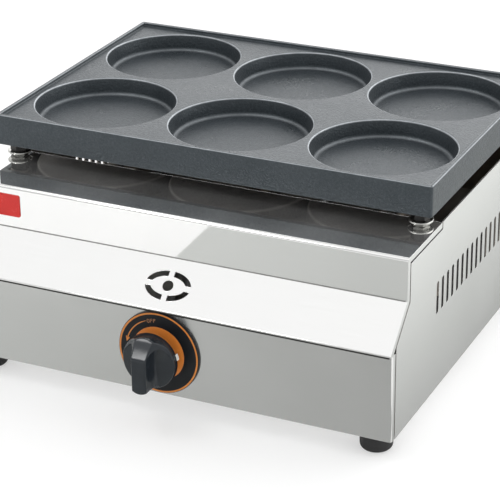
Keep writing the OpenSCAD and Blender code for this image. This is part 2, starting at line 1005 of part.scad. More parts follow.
// Pan-head screw along +y with a cross recess, head at y0.
module rear_screws() {
  r = panel_screw / 2;
  color(steel)
    place()
      for (x = [-1, 1], z = screw_levels)
        translate([x * (half_w - flange / 2), y_rear, z])
          rotate([-90, 0, 0])
            screw(r);
}

// Pan-head screw, head above z = 0 and shank below.
module screw(r) {
  difference() {
    union() {
      rotate_extrude()
        polygon([[0, 0], [2 * r, 0], [2 * r, screw_head * 0.4], [1.7 * r, screw_head * 0.8],
                 [r, screw_head], [0, screw_head]]);
      translate([0, 0, -screw_length])
        cylinder(h = screw_length + 0.5, r = r);
    }
    for (a = [0, 90])
      rotate([0, 0, a])
        translate([-1.2 * r, -0.4, screw_head - 1.2])
          cube([2.4 * r, 0.8, 2]);
  }
}

module base_screws() {
  r = panel_screw / 2;
  color(steel)
    place()
      for (x = [-1, 1], y = screw_rows)
        translate([x * (half_w - flange / 2), y, z_bottom])
          rotate([180, 0, 0])
            screw(r);
}

mould_plate();
plate_studs();
jam_nuts();
stud_washers();
levelling_nuts();
front_cover();
control_panel();
left_side_panel();
right_side_panel();
rear_panel();
base_pan();
badge_plate();
knob_bezel();
bezel_ring();
control_knob();
valve_stem();
valve_plunger();
valve_body();
valve_nut();
gas_riser();
gas_manifold();
gas_jets();
burner_left();
burner_middle();
burner_right();
burner_front_rail();
burner_rear_rail();
feed_pipe();
hose_nozzle();
bulkhead_nut();
feet();
foot_screws();
foot_nuts();
rear_screws();
base_screws();
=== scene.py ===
# %% [markdown]
# # A six-well gas griddle
# This is a small catering griddle. A dark cast plate with six round wells stands on four studs
# above a folded box of mirror-bright steel, and one black knob works the gas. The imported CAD
# model already holds every piece in its place, so this lesson only dresses it: each cell makes
# one piece or one finish, in metres, in the frame of the CAD.

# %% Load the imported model
import json
import math

import bmesh
import bpy
from mathutils import Matrix, Vector


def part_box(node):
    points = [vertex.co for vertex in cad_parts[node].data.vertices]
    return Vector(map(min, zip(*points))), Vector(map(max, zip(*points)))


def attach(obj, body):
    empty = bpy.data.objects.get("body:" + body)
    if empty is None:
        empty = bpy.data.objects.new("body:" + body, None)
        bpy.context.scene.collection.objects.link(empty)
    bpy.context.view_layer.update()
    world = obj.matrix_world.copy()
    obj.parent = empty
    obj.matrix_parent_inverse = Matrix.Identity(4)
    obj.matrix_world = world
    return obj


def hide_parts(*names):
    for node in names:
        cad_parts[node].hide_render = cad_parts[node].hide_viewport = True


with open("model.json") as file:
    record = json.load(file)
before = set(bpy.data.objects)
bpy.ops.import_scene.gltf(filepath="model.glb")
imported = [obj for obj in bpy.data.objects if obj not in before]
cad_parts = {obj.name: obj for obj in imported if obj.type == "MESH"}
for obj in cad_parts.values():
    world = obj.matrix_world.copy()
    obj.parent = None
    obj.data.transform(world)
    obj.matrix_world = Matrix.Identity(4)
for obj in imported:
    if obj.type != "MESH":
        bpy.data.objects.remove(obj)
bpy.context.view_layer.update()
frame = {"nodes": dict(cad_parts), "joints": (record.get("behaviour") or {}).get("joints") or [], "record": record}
nodes = frame["nodes"]
MM = 0.001


print("CAD nodes:", len(nodes))

# %% [markdown]
# ## The camera
# The photograph looks from the front right and a little above, through a long lens, so the
# edges hardly converge. The eye point and the directions come from fitting the straight
# edges of the plate and the body. A matrix of three directions says this more exactly than
# angles would.

# %% Camera
EYE = Vector((0.67518, -1.45242, 0.80257))
LOOK = Vector((-0.3876, 0.8219, -0.4175)).normalized()
SIDEWAYS = Vector((0.9063, 0.4224, -0.0100))
ACROSS = (SIDEWAYS - LOOK * SIDEWAYS.dot(LOOK)).normalized()
SENSOR_WIDTH, FOCAL_LENGTH = 36.0, 149.65
lens = bpy.data.cameras.new("photo_lens")
lens.sensor_width, lens.lens = SENSOR_WIDTH, FOCAL_LENGTH
camera = bpy.data.objects.new("photo_camera", lens)
camera.matrix_world = Matrix((ACROSS, ACROSS.cross(LOOK), -LOOK)).transposed().to_4x4()
camera.location = EYE
bpy.context.scene.collection.objects.link(camera)
bpy.context.scene.camera = camera
bpy.context.scene.view_settings.view_transform = "Standard"
print("Camera height in m:", round(EYE.z, 3))

# %% [markdown]
# ## Writing node trees as sums
# A finish is a small network of nodes. Placing them by hand in code is long, so one class wraps
# a socket and turns arithmetic into Math nodes: `1 - mask` or `0.1 + 0.2 * noise` read like
# formulas. Every other node comes from one method that takes the node's type, its settings, and
# what goes into its sockets.

# %% The socket wrapper
class Wire:
    """One value in a node tree."""

    def __init__(self, graph, socket):
        self.graph, self.socket = graph, socket

    def _math(self, operation, first, second):
        return self.graph.node("ShaderNodeMath", {"operation": operation}, {0: first, 1: second})

    def __add__(self, other):
        return self._math("ADD", self, other)

    def __sub__(self, other):
        return self._math("SUBTRACT", self, other)

    def __rsub__(self, other):
        return self._math("SUBTRACT", other, self)

    def __mul__(self, other):
        return self._math("MULTIPLY", self, other)

    __radd__ = __add__
    __rmul__ = __mul__


class Graph:
    """A node tree that starts empty and is filled by code."""

    def __init__(self, tree):
        self.tree = tree
        tree.nodes.clear()

    def node(self, kind, settings=None, sockets=None, out=0):
        made = self.tree.nodes.new(kind)
        for key, value in (settings or {}).items():
            setattr(made, key, value)
        for key, value in (sockets or {}).items():
            if isinstance(value, Wire):
                self.tree.links.new(value.socket, made.inputs[key])
            else:
                made.inputs[key].default_value = value
        return Wire(self, made.outputs[out]) if len(made.outputs) else None

    def part(self, vector, axis):
        return self.node("ShaderNodeSeparateXYZ", None, {0: vector}, axis)

    def ramp(self, value, start, end, low, high, shape="LINEAR"):
        """Low up to start, high from end on, and a slope between them."""
        return self.node("ShaderNodeMapRange", {"interpolation_type": shape},
                         {"Value": value, "From Min": start, "From Max": end,
                          "To Min": low, "To Max": high})


print("Wrapper ready")

# %% [markdown]
# ## Words for surface detail
# Most finishes need the same few things: a place on the surface, cloudy or streaky variation,
# a blend of two colours, a fine bump, and the edges where a coat wears. Each gets a short word
# here. The edge word compares the true normal with one rounded by the Bevel node, which differs
# only near an edge.

# %% Detail words
NOISE_LOW, NOISE_HIGH = 0.3, 0.7
INWARD = -0.02


class Finish(Graph):
    """A material whose values are named for what they do to a surface."""

    def __init__(self, name):
        self.material = bpy.data.materials.new(name)
        self.material.use_nodes = True
        super().__init__(self.material.node_tree)
        self.place = self.node("ShaderNodeTexCoord", out="Object")

    def vector(self, operation, first, second, out=0):
        return self.node("ShaderNodeVectorMath", {"operation": operation}, {0: first, 1: second}, out)

    def noise(self, scale, detail=2.0, stretch=(1, 1, 1), low=0.0, high=1.0):
        place = self.vector("MULTIPLY", self.place, stretch)
        cloud = self.node("ShaderNodeTexNoise", None,
                          {"Vector": place, "Scale": scale, "Detail": detail})
        return self.ramp(cloud, NOISE_LOW, NOISE_HIGH, low, high)

    def painted(self, name):
        """The value that the mesh itself holds at each point under this name."""
        return self.node("ShaderNodeAttribute", {"attribute_name": name}, out="Fac")

    def blend(self, mask, first, second):
        """From a colour, or a colour that already varies, to a second colour."""
        start = first if isinstance(first, Wire) else first + (1,)
        return self.node("ShaderNodeMix", {"data_type": "RGBA"},
                         {0: mask, 6: start, 7: second + (1,)}, out=2)

    def rounded(self, radius):
        return self.node("ShaderNodeBevel", {"samples": 6}, {"Radius": radius})

    def facing(self, direction):
        true = self.node("ShaderNodeNewGeometry", out="Normal")
        return self.vector("DOT_PRODUCT", direction, true, "Value")

    def edges(self, radius, gain):
        turned_away = 1 - self.facing(self.rounded(radius))
        return self.node("ShaderNodeMath", {"operation": "MULTIPLY", "use_clamp": True},
                         {0: turned_away, 1: gain})

    def inside(self):
        """One on the faces that look in towards the middle of the body, nought outside."""
        outward = self.facing(self.vector("MULTIPLY", self.place, (1, 1, 0)))
        return self.node("ShaderNodeMath", {"operation": "LESS_THAN"}, {0: outward, 1: INWARD})

    def bump(self, height, depth, normal):
        return self.node("ShaderNodeBump", None, {
            "Height": height, "Distance": depth, "Strength": 1.0, "Normal": normal})

    def surface(self, sockets):
        shader = self.node("ShaderNodeBsdfPrincipled", None, sockets)
        self.node("ShaderNodeOutputMaterial", None, {"Surface": shader})
        return self.material


print("Detail words ready")

# %% [markdown]
# ## Floor and sky
# The picture is a bright catalogue view: white all round, with soft light. Mirror-bright steel
# shows whatever stands around it, so the room is part of the finish. The floor is a pale
# sheet that keeps a soft shadow, and the camera sees it with a glow of its own, which makes it
# white. The sky is brighter overhead than at the horizon, and brightest behind the griddle.

# %% Floor
def plane_piece(name, corners):
    mesh = bpy.data.meshes.new(name)
    mesh.from_pydata(corners, [], [tuple(range(len(corners)))])
    piece = bpy.data.objects.new(name, mesh)
    bpy.context.scene.collection.objects.link(piece)
    return piece


FLOOR_REACH = 9.0
WHITE = (1.0, 1.0, 1.0, 1.0)
floor = plane_piece("floor", [(x * FLOOR_REACH, y * FLOOR_REACH, 0)
                              for x, y in ((-1, -1), (1, -1), (1, 1), (-1, 1))])
paper = Finish("floor_paper")


def paper_sheet(colour, glow):
    return paper.node("ShaderNodeBsdfPrincipled", None, {
        "Base Color": colour, "Roughness": 0.9, "Specular IOR Level": 0.0,
        "Emission Color": WHITE, "Emission Strength": glow})


paper_tone = paper.blend(paper.noise(6.0), (0.90, 0.90, 0.895), (0.92, 0.92, 0.915))
paper_seen = paper.node("ShaderNodeLightPath", out="Is Camera Ray")
both_sheets = paper.node("ShaderNodeMixShader", None, {
    0: paper_seen, 1: paper_sheet(paper_tone, 0.16), 2: paper_sheet((0.55, 0.55, 0.548, 1.0), 0.48)})
paper.node("ShaderNodeOutputMaterial", None, {"Surface": both_sheets})
floor.data.materials.append(paper.material)
print("Floor made, m across:", 2 * FLOOR_REACH)

# %% Sky
HORIZON_GLOW, OVERHEAD_GLOW, REAR_GLOW = 0.58, 0.76, 1.6
REAR_FROM, REAR_TO, REAR_LEAN = 0.1, 0.9, 0.5
world = bpy.data.worlds.new("studio_sky")
bpy.context.scene.world = world
world.use_nodes = True
sky = Graph(world.node_tree)
ray = sky.node("ShaderNodeTexCoord", out="Generated")
overhead = sky.ramp(sky.part(ray, "Z"), 0.0, 1.0, HORIZON_GLOW, OVERHEAD_GLOW)
rearward = sky.part(ray, "Y") + REAR_LEAN * sky.part(ray, "X")
behind = sky.ramp(rearward, REAR_FROM, REAR_TO, 0.0, REAR_GLOW, "SMOOTHSTEP")
seen = sky.node("ShaderNodeLightPath", out="Is Camera Ray")
sky_light = sky.node("ShaderNodeBackground", None, {"Color": WHITE, "Strength": overhead + behind})
backdrop = sky.node("ShaderNodeBackground", None, {"Color": WHITE, "Strength": 1.0})
both_skies = sky.node("ShaderNodeMixShader", None, {0: seen, 1: sky_light, 2: backdrop})
sky.node("ShaderNodeOutputWorld", None, {"Surface": both_skies})
print("Sky made, glow from", HORIZON_GLOW, "to", OVERHEAD_GLOW + REAR_GLOW)

# %% [markdown]
# ## Lamps
# Three soft lamps hang at the front left. A wide one stands where the sloped front mirrors it, so
# the slope shows white. A small one draws the bright line along the bend of the ledge. The third
# gives the flat on the knob its pale shine. It lights no matt surface, so the plate keeps its tone.

# %% Lamps
def soft_lamp(name, place, aim, width, depth, watts):
    light = bpy.data.lights.new(name, "AREA")
    light.shape, light.size, light.size_y, light.energy = "RECTANGLE", width, depth, watts
    lamp = bpy.data.objects.new(name, light)
    lamp.location = place
    lamp.rotation_euler = (Vector(aim) - Vector(place)).to_track_quat("-Z", "Y").to_euler()
    bpy.context.scene.collection.objects.link(lamp)
    return lamp


soft_lamp("slope_softbox", (-0.95, -1.05, 2.0), (0, -0.15, 0.1), 2.2, 2.2, 7.2)
soft_lamp("lip_light", (-0.88, -0.45, 1.86), (0, -0.1, 0.1), 0.60, 0.26, 3.4)
thumb_light = soft_lamp("thumb_light", (-0.86, -1.57, 1.55), (0, -0.2, 0.06), 0.4, 0.4, 4.2)
thumb_light.visible_diffuse = False
print("Three lamps made")

# %% [markdown]
# ## Cards for the mirror
# A photographer lays grey cards on the floor in front of polished metal, or it would vanish against the white.
# These cards glow and are seen only in reflections, so their tones paint reflections into the steel. The near card
# in front paints a grey reflection into the lower panel. The far one makes the right part of the upper band grey,
# and its left edge draws the slanting line there. Three more lie at the sides and the back. They are darker near
# the body, where they paint the floor's shade into the reflections.

# %% Grey cards
CARD_LIFT = 0.8 * MM


def mirror_card(name, corners_mm, axis, start, end, near_tone, far_tone):
    """A glowing card on the floor whose tone changes from start to end along an axis, in metres."""
    card = plane_piece(name, [(x * MM, y * MM, CARD_LIFT) for x, y in corners_mm])
    card.visible_camera = card.visible_diffuse = card.visible_shadow = False
    grey = Finish(name)
    tone = grey.ramp(grey.part(grey.place, axis), start, end, near_tone, far_tone)
    colour = grey.node("ShaderNodeCombineColor", None, {0: tone, 1: tone * 1.02, 2: tone * 0.99})
    shine = grey.node("ShaderNodeEmission", None, {"Color": colour, "Strength": 1.0})
    grey.node("ShaderNodeOutputMaterial", None, {"Surface": shine})
    card.data.materials.append(grey.material)


mirror_card("near_card", [(-420, -195), (260, -195), (260, -375), (-420, -375)],
            "X", -0.30, 0.15, 0.68, 0.44)
mirror_card("far_card", [(-125, -375), (260, -375), (260, -805), (-140, -805)],
            "X", -0.10, 0.15, 0.72, 0.58)
mirror_card("side_card", [(191, -180), (560, -180), (560, 700), (191, 700)],
            "X", 0.195, 0.31, 0.43, 0.91)
mirror_card("left_card", [(-560, -180), (-191, -180), (-191, 700), (-560, 700)],
            "X", -0.34, -0.195, 0.92, 0.50)
mirror_card("rear_card", [(-191, 182), (191, 182), (191, 700), (-191, 700)],
            "Y", 0.185, 0.40, 0.48, 0.90)
print("Five cards made")

# %% [markdown]
# ## Polished sheet steel
# The body is stainless sheet polished almost to a mirror. A mirror in a white room looks flat,
# so what makes it read as metal is small: long rolling lines along the sheet, faint cloudy wiping
# marks that dull the gloss here and there, and a very slight waviness that bends reflections.
# The faces that look in on the burners are dulled and a little browned by heat.

# %% Steel finishes
ROLLING_DEPTH, WAVE_DEPTH = 0.0000012, 0.00006
LINE_STRETCH = 60.0


def sheet_steel(name, along, tone=0.80, gloss=0.06, haze=0.08, shine=0.94):
    steel = Finish(name)
    lines = steel.noise(22.0, 3.0, tuple(1.0 if along == axis else LINE_STRETCH for axis in "xyz"))
    wipes = steel.noise(14.0, 3.0)
    waviness = steel.noise(7.0, 1.0)
    browned = steel.inside()
    clean = steel.blend(0.65 * lines + 0.35 * wipes,
                        (tone * 0.965, tone * 0.965, tone * 0.955), (tone, tone, tone * 0.995))
    colour = steel.blend(browned * (0.80 + 0.15 * wipes), clean, (0.380, 0.345, 0.300))
    fine = steel.bump(lines, ROLLING_DEPTH, steel.rounded(0.3 * MM))
    return steel.surface({
        "Base Color": colour, "Metallic": shine - 0.07 * wipes - 0.5 * browned,
        "Roughness": gloss + haze * (0.35 * lines + 0.65 * wipes) + 0.25 * browned,
        "Normal": steel.bump(waviness, WAVE_DEPTH, fine)})


front_steel = sheet_steel("polished_front_steel", "x", gloss=0.012, haze=0.03)
# A darker copy of the polished steel for the lower panel: its lower tone paints the shade of the floor it
# reflects.
panel_steel = sheet_steel("polished_panel_steel", "x", tone=0.72, gloss=0.09, haze=0.10)
side_steel = sheet_steel("polished_side_steel", "y", gloss=0.10)
rear_steel = sheet_steel("polished_rear_steel", "x", tone=0.78, gloss=0.12)
inner_steel = sheet_steel("mill_steel", "x", tone=0.86, gloss=0.34, haze=0.2, shine=0.3)
print("Sheet steels made")

# %% [markdown]
# ## The coat on the cast plate
# The plate is cast and sprayed with a dark non-stick coat. Seen flat on it is a deep slate, and at a low angle it
# shines pale, which the shader's own gloss gives. The coat has a fine grain from spraying and slow clouds of tone.
# It is lighter grey along the well lips, the rim and the curve at the well floor, which is partly the coat rubbed
# thin and partly painted highlight lines. The underside never sees food, so it stays bare: rough cast metal,
# greyed and a little browned by the flames, with pale painted highlight lines round the cups.

# %% Cast coat
def cast_coat():
    coat = Finish("cast_non_stick_coat")
    clouds = coat.noise(26.0, 4.0)
    specks = coat.noise(560.0)
    fine = coat.noise(1700.0)
    # Pale along the lips, rim and floor curve: part coat rubbed thin, part painted highlight.
    rub_and_shine = coat.painted("wear") * coat.noise(130.0, 4.0, low=0.65)
    slate = coat.blend(clouds, (0.016, 0.021, 0.025), (0.028, 0.034, 0.039))
    speckled = coat.blend(0.5 * specks * fine, slate, (0.095, 0.108, 0.120))
    grain = coat.bump(specks, 0.13 * MM, coat.rounded(0.7 * MM))
    return coat.surface({
        "Base Color": coat.blend(rub_and_shine, speckled, (0.82, 0.86, 0.90)), "Metallic": 0.4 * rub_and_shine,
        "Roughness": 0.31 + 0.08 * clouds - 0.06 * specks,
        "IOR": 1.52, "Specular Tint": (0.84, 0.94, 1.0, 1.0),
        "Normal": coat.bump(fine, 0.05 * MM, grain)})


def raw_casting():
    raw = Finish("bare_casting")
    clouds = raw.noise(40.0, 4.0)
    skin = raw.noise(650.0, 3.0)
    brown = raw.blend(clouds, (0.140, 0.131, 0.121), (0.235, 0.220, 0.204))
    pitted = raw.blend(0.35 * skin, brown, (0.045, 0.042, 0.038))
    # Pale round the cups: painted highlight lines.
    return raw.surface({
        "Base Color": raw.blend(raw.painted("wear"), pitted, (0.46, 0.44, 0.41)),
        "Metallic": 0.35, "Roughness": 0.50 + 0.15 * clouds,
        "Normal": raw.bump(skin, 0.1 * MM, raw.rounded(0.6 * MM))})


coat_finish = cast_coat()
bare_casting = raw_casting()
print("Cast coat and bare casting made")

# %% [markdown]
# ## Small metals
# The studs, levelling nuts and washers are plated. The jam nuts under the plate are black, which is painted shade
# for the plate's shadow over them. The gas line is plated pipe and brass, and the burner tubes are darkened by
# heat. One function with a colour pair and a gloss range serves them all: slow clouds change the tone, fine
# scratches the gloss, and edges are rubbed brighter.

# %% Metal finishes
EDGE_LIFT = 1.25


def small_metal(name, dark, light, gloss, spread, scale):
    metal = Finish(name)
    clouds = metal.noise(scale, 4.0)
    scratches = metal.noise(900.0, 2.0, (1, 1, 6))
    rubbed = tuple(min(1.0, c * EDGE_LIFT) for c in light)
    colour = metal.blend(0.6 * metal.edges(0.6 * MM, 2.0), metal.blend(clouds, dark, light), rubbed)
    return metal.surface({
        "Base Color": colour, "Metallic": 1.0,
        "Roughness": gloss + spread * (0.6 * clouds + 0.4 * scratches),
        "Normal": metal.bump(scratches, 0.006 * MM, metal.rounded(0.4 * MM))})


zinc_plate = small_metal("zinc_plate", (0.50, 0.50, 0.48), (0.74, 0.74, 0.71), 0.10, 0.12, 90.0)
nut_plate = small_metal("aged_nut_plate", (0.15, 0.15, 0.14), (0.30, 0.30, 0.28), 0.12, 0.12, 140.0)
# Black for the jam nuts: painted shade under the plate.
black_oxide = small_metal("black_oxide", (0.035, 0.035, 0.036), (0.070, 0.068, 0.066), 0.30, 0.16, 90.0)
plated_pipe = small_metal("plated_pipe", (0.50, 0.51, 0.52), (0.64, 0.65, 0.66), 0.22, 0.18, 60.0)
brass = small_metal("machined_brass", (0.56, 0.40, 0.16), (0.76, 0.58, 0.28), 0.18, 0.18, 70.0)
hot_steel = small_metal("heat_tinted_steel", (0.11, 0.095, 0.085), (0.24, 0.20, 0.15), 0.32, 0.20, 24.0)
print("Small metals made")

# %% [markdown]
# ## Plastics, rubber and print
# The knob is moulded black plastic with a half gloss, the disc behind it is satin black with an
# orange ring, the badge is a bare red plate, and the feet are dull rubber. Each is a plain
# dielectric, with moulding grain, clouds in the tone and paler rubbed edges.

# %% Plastic finishes
def moulded(name, dark, light, gloss, spread, grain, rub=(0.2, 0.2, 0.21), rubbed=0.25, shine=0.5):
    plastic = Finish(name)
    clouds = plastic.noise(70.0, 3.0)
    fine = plastic.noise(grain)
    edge = plastic.edges(0.7 * MM, 2.0) * rubbed * plastic.noise(220.0, low=0.4)
    return plastic.surface({
        "Base Color": plastic.blend(edge, plastic.blend(0.6 * clouds + 0.4 * fine, dark, light), rub),
        "Roughness": gloss + spread * (0.5 * clouds + 0.5 * fine), "Specular IOR Level": shine,
        "Normal": plastic.bump(fine, 0.012 * MM, plastic.rounded(0.4 * MM))})


knob_plastic = moulded("knob_plastic", (0.013, 0.017, 0.022), (0.020, 0.025, 0.031), 0.10, 0.06, 1600.0)
disc_plastic = moulded("disc_plastic", (0.008, 0.009, 0.011), (0.014, 0.015, 0.018), 0.34, 0.10, 1800.0,
                       shine=0.25)
orange_print = moulded("orange_print", (0.66, 0.20, 0.022), (0.76, 0.26, 0.035), 0.36, 0.10, 1400.0,
                       rub=(0.80, 0.36, 0.10), rubbed=0.3)
# A brighter copy of the orange print: painted light on the ring where the knob shades it.
ring_print = moulded("ring_print", (0.86, 0.25, 0.035), (0.94, 0.30, 0.05), 0.36, 0.10, 1400.0)
mark_print = moulded("mark_print", (0.36, 0.15, 0.06), (0.46, 0.21, 0.09), 0.45, 0.10, 1400.0,
                     rub=(0.5, 0.26, 0.14))
white_print = moulded("white_print", (0.74, 0.74, 0.70), (0.84, 0.84, 0.80), 0.45, 0.10, 1400.0,
                      rub=(0.6, 0.6, 0.58))
badge_enamel = moulded("badge_enamel", (0.58, 0.022, 0.018), (0.68, 0.030, 0.024), 0.22, 0.08, 900.0,
                       rub=(0.75, 0.16, 0.12), rubbed=0.4, shine=0.3)
foot_rubber = moulded("foot_rubber", (0.012, 0.012, 0.013), (0.022, 0.022, 0.023), 0.62, 0.14, 700.0,
                      rub=(0.06, 0.06, 0.06))
print("Plastics made")

# %% [markdown]
# ## Dressing the CAD nodes
# A CAD node whose shape is right stays as it is and only takes a finish. Most take the finish of
# their material slot in the record. A few have one of their own: the sheets of the body differ in
# gloss and in the way they were rolled, and the burner rails are darkened by heat.

# %% Finishes for the CAD nodes
SLOT_FINISH = {"coated_casting": coat_finish, "polished_steel": front_steel,
               "inner_steel": inner_steel, "burner_steel": hot_steel, "pipe_steel": plated_pipe,
               "brass": brass, "plated_fasteners": zinc_plate, "badge_red": badge_enamel,
               "bezel_black": disc_plastic, "bezel_orange": orange_print,
               "knob_black": knob_plastic, "foot_rubber": foot_rubber}
NODE_FINISH = {"control_panel": panel_steel, "left_side_panel": side_steel,
               "right_side_panel": side_steel, "rear_panel": rear_steel,
               "burner_front_rail": hot_steel, "burner_rear_rail": hot_steel}
node_slot = {part["node"]: part["material_slot"] for part in frame["record"]["subparts"]}
for name, node in nodes.items():
    node.data.materials.clear()
    node.data.materials.append(NODE_FINISH.get(name, SLOT_FINISH[node_slot[name]]))
print("Dressed nodes:", len(nodes))

# %% [markdown]
# ## Making pieces from loops
# The new pieces are all built from closed loops of points: a turned part is one outline swept
# round an axis, and a plate is one outline drawn at several heights. Joining each loop to the next
# with four-sided faces gives clean meshes that shade smoothly. Corners are rounded in the outline
# itself, so highlights come from real geometry.

# %% Outlines and loops
def arc_path(points, steps=5):
    """Outline of (x, y, radius) points with each corner rounded by its radius."""
    path = []
    for i, (x, y, radius) in enumerate(points):
        here = Vector((x, y))
        if radius == 0 or i in (0, len(points) - 1):
            path.append(here)
            continue
        back = (Vector(points[i - 1][:2]) - here).normalized()
        ahead = (Vector(points[i + 1][:2]) - here).normalized()
        half = back.angle(ahead) / 2
        reach = radius / math.tan(half)
        centre = here + (back + ahead).normalized() * radius / math.sin(half)
        first, last = here + back * reach - centre, here + ahead * reach - centre
        turn = math.atan2(first.x * last.y - first.y * last.x, first.dot(last))
        path += [centre + Matrix.Rotation(turn * k / steps, 2) @ first for k in range(steps + 1)]
    return path


def around(steps):
    """Angles of a full turn."""
    return [2 * math.pi * k / steps for k in range(steps)]


def quarter(steps):
    """Angles of a quarter turn, both ends included."""
    return [math.pi / 2 * k / steps for k in range(steps + 1)]


def bridge(bm, first, second):
    count = len(first)
    for i in range(count):
        bm.faces.new((first[i], first[(i + 1) % count], second[(i + 1) % count], second[i]))


def loft(bm, loops):
    """Join loops in a row and close both ends."""
    for first, second in zip(loops, loops[1:]):
        bridge(bm, first, second)
    bm.faces.new(loops[0])
    bm.faces.new(loops[-1])


print("Points on a rounded corner:", len(arc_path([(0, 0, 0), (1, 0, 0.5), (1, 1, 0)])) - 2)

# %% Turned forms and finished pieces
UP, RIGHT, FORWARD = Vector((0, 0, 1)), Vector((1, 0, 0)), Vector((0, -1, 0))
ON_AXIS = 1e-6


def turned(bm, outline, origin, axis, across, segments, closed=True):
    """Sweep (radius, height) points in mm round an axis through origin."""
    third = axis.cross(across)
    spokes = [across * math.cos(a) + third * math.sin(a) for a in around(segments)]
    loops = []
    for radius, height in outline:
        centre = Vector(origin) + axis * height * MM
        if radius < ON_AXIS:
            loops.append([bm.verts.new(centre)])
        else:
            loops.append([bm.verts.new(centre + spoke * radius * MM) for spoke in spokes])
    for first, second in zip(loops, loops[1:] + (loops[:1] if closed else [])):
        if len(first) == len(second):
            bridge(bm, first, second)
            continue
        tip, ring = (first, second) if len(first) == 1 else (second, first)
        for k in range(segments):
            bm.faces.new((tip[0], ring[k], ring[(k + 1) % segments]))


def upright(bm, outline, x, y, segments, closed=True):
    """A turned form that stands on an upright axis at x, y in mm."""
    turned(bm, outline, (x * MM, y * MM, 0), UP, RIGHT, segments, closed)


def finish_piece(name, bm, body, material, stands_for=(), sharp=35.0):
    """Turn loops into an object that rides on a body, with edges over the sharp angle left crisp."""
    bmesh.ops.recalc_face_normals(bm, faces=bm.faces)
    mesh = bpy.data.meshes.new(name)
    bm.to_mesh(mesh)
    bm.free()
    mesh.shade_smooth()
    mesh.set_sharp_from_angle(angle=math.radians(sharp))
    mesh.materials.append(material)
    piece = bpy.data.objects.new(name, mesh)
    bpy.context.scene.collection.objects.link(piece)
    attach(piece, body)
    if stands_for:
        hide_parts(*stands_for)
    print(name, "faces:", len(mesh.polygons))
    return piece


print("Piece makers ready")

# %% [markdown]
# ## The cast plate
# The plate is a shallow tray: a raised rim round a flat land, six wells sunk into it, and a hollow
# underside with a cup below each well. Cutting round holes in a box leaves long thin faces, so each
# well gets a square cell of its own instead: points along the cell's sides lead to the same number
# of points round the well, and the cells share their sides. The well's lip and the curve at its
# floor are loops of their own, because those two curves carry the bright lines in the picture.

# %% Plate sizes
plate_low, plate_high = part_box("mould_plate")
wells = [box["box_m"] for box in frame["record"]["physics"]["openings"]]
well_xy = [((low[0] + high[0]) / 2 / MM, (low[1] + high[1]) / 2 / MM) for low, high in wells]
columns = sorted({round(x, 3) for x, _ in well_xy})
rows = sorted({round(y, 3) for _, y in well_xy})
RIM_WIDTH, RIM_HEIGHT, WALL = 4.0, 3.0, 5.5
WELL_RADIUS, WELL_DEPTH, WELL_DRAFT = 58.5, 14.5, 2.0
z_rim, z_base = plate_high.z / MM, plate_low.z / MM
z_land = z_rim - RIM_HEIGHT
z_floor = z_land - WELL_DEPTH
z_roof = z_land - WALL
half_x = (plate_high.x - plate_low.x) / 2 / MM - RIM_WIDTH
half_y = (plate_high.y - plate_low.y) / 2 / MM - RIM_WIDTH
mid_y = (plate_low.y + plate_high.y) / 2 / MM
print("Wells:", len(wells), "land in mm:", round(2 * half_x, 1), "x", round(2 * half_y, 1))

# %% Cells round the wells
SIDE_STEPS = 40


def cell_side(start, end):
    """Points along a cell's side, closer together towards its ends."""
    shares = [(1 - math.cos(math.pi * k / SIDE_STEPS)) / 2 for k in range(SIDE_STEPS)]
    return [tuple(p + (q - p) * share for p, q in zip(start, end)) for share in shares]


def closed_sides(corners):
    return [p for a, b in zip(corners, corners[1:] + corners[:1]) for p in cell_side(a, b)]


def celled_deck(bm, half_w, half_d, level, loops):
    """A flat deck of cells, each with a round form in it; returns its outer boundary."""
    cuts_x = [-half_w] + [(a + b) / 2 for a, b in zip(columns, columns[1:])] + [half_w]
    cuts_y = [mid_y - half_d, (rows[0] + rows[1]) / 2, mid_y + half_d]
    shared = {}

    def deck_vert(x, y):
        key = (round(x, 4), round(y, 4))
        if key not in shared:
            shared[key] = bm.verts.new((x * MM, y * MM, level * MM))
        return shared[key]

    for i, cx in enumerate(columns):
        for j, cy in enumerate(rows):
            (x0, x1), (y0, y1) = cuts_x[i:i + 2], cuts_y[j:j + 2]
            outline = closed_sides([(x0, y0), (x1, y0), (x1, y1), (x0, y1)])
            previous = [deck_vert(x, y) for x, y in outline]
            angles = [math.atan2(y - cy, x - cx) for x, y in outline]
            for radius, z in loops:
                ring = [bm.verts.new(((cx + radius * math.cos(a)) * MM, (cy + radius * math.sin(a)) * MM,
                                      z * MM)) for a in angles]
                bridge(bm, previous, ring)
                previous = ring
            bm.faces.new(previous)
    boundary = ([(x, cuts_y[0]) for x in cuts_x] + [(cuts_x[-1], y) for y in cuts_y[1:]]
                + [(x, cuts_y[-1]) for x in cuts_x[-2::-1]] + [(cuts_x[0], y) for y in cuts_y[-2:0:-1]])
    return [deck_vert(x, y) for x, y in closed_sides(boundary)]


def offset_loop(bm, boundary, out, level, corner):
    """The deck's boundary moved outwards, with its four corners rounded in plan."""
    half_w = max(abs(v.co.x) for v in boundary) / MM
    half_d = max(abs(v.co.y / MM - mid_y) for v in boundary)
    loop = []
    for v in boundary:
        x = v.co.x / MM * (half_w + out) / half_w
        y = (v.co.y / MM - mid_y) * (half_d + out) / half_d
        inner = Vector((math.copysign(half_w + out - corner, x), math.copysign(half_d + out - corner, y)))
        if abs(x) > abs(inner.x) and abs(y) > abs(inner.y):
            x, y = inner + (Vector((x, y)) - inner).normalized() * corner
        loop.append(bm.verts.new((x * MM, (y + mid_y) * MM, level * MM)))
    return loop


print("Points round each well:", 4 * SIDE_STEPS)

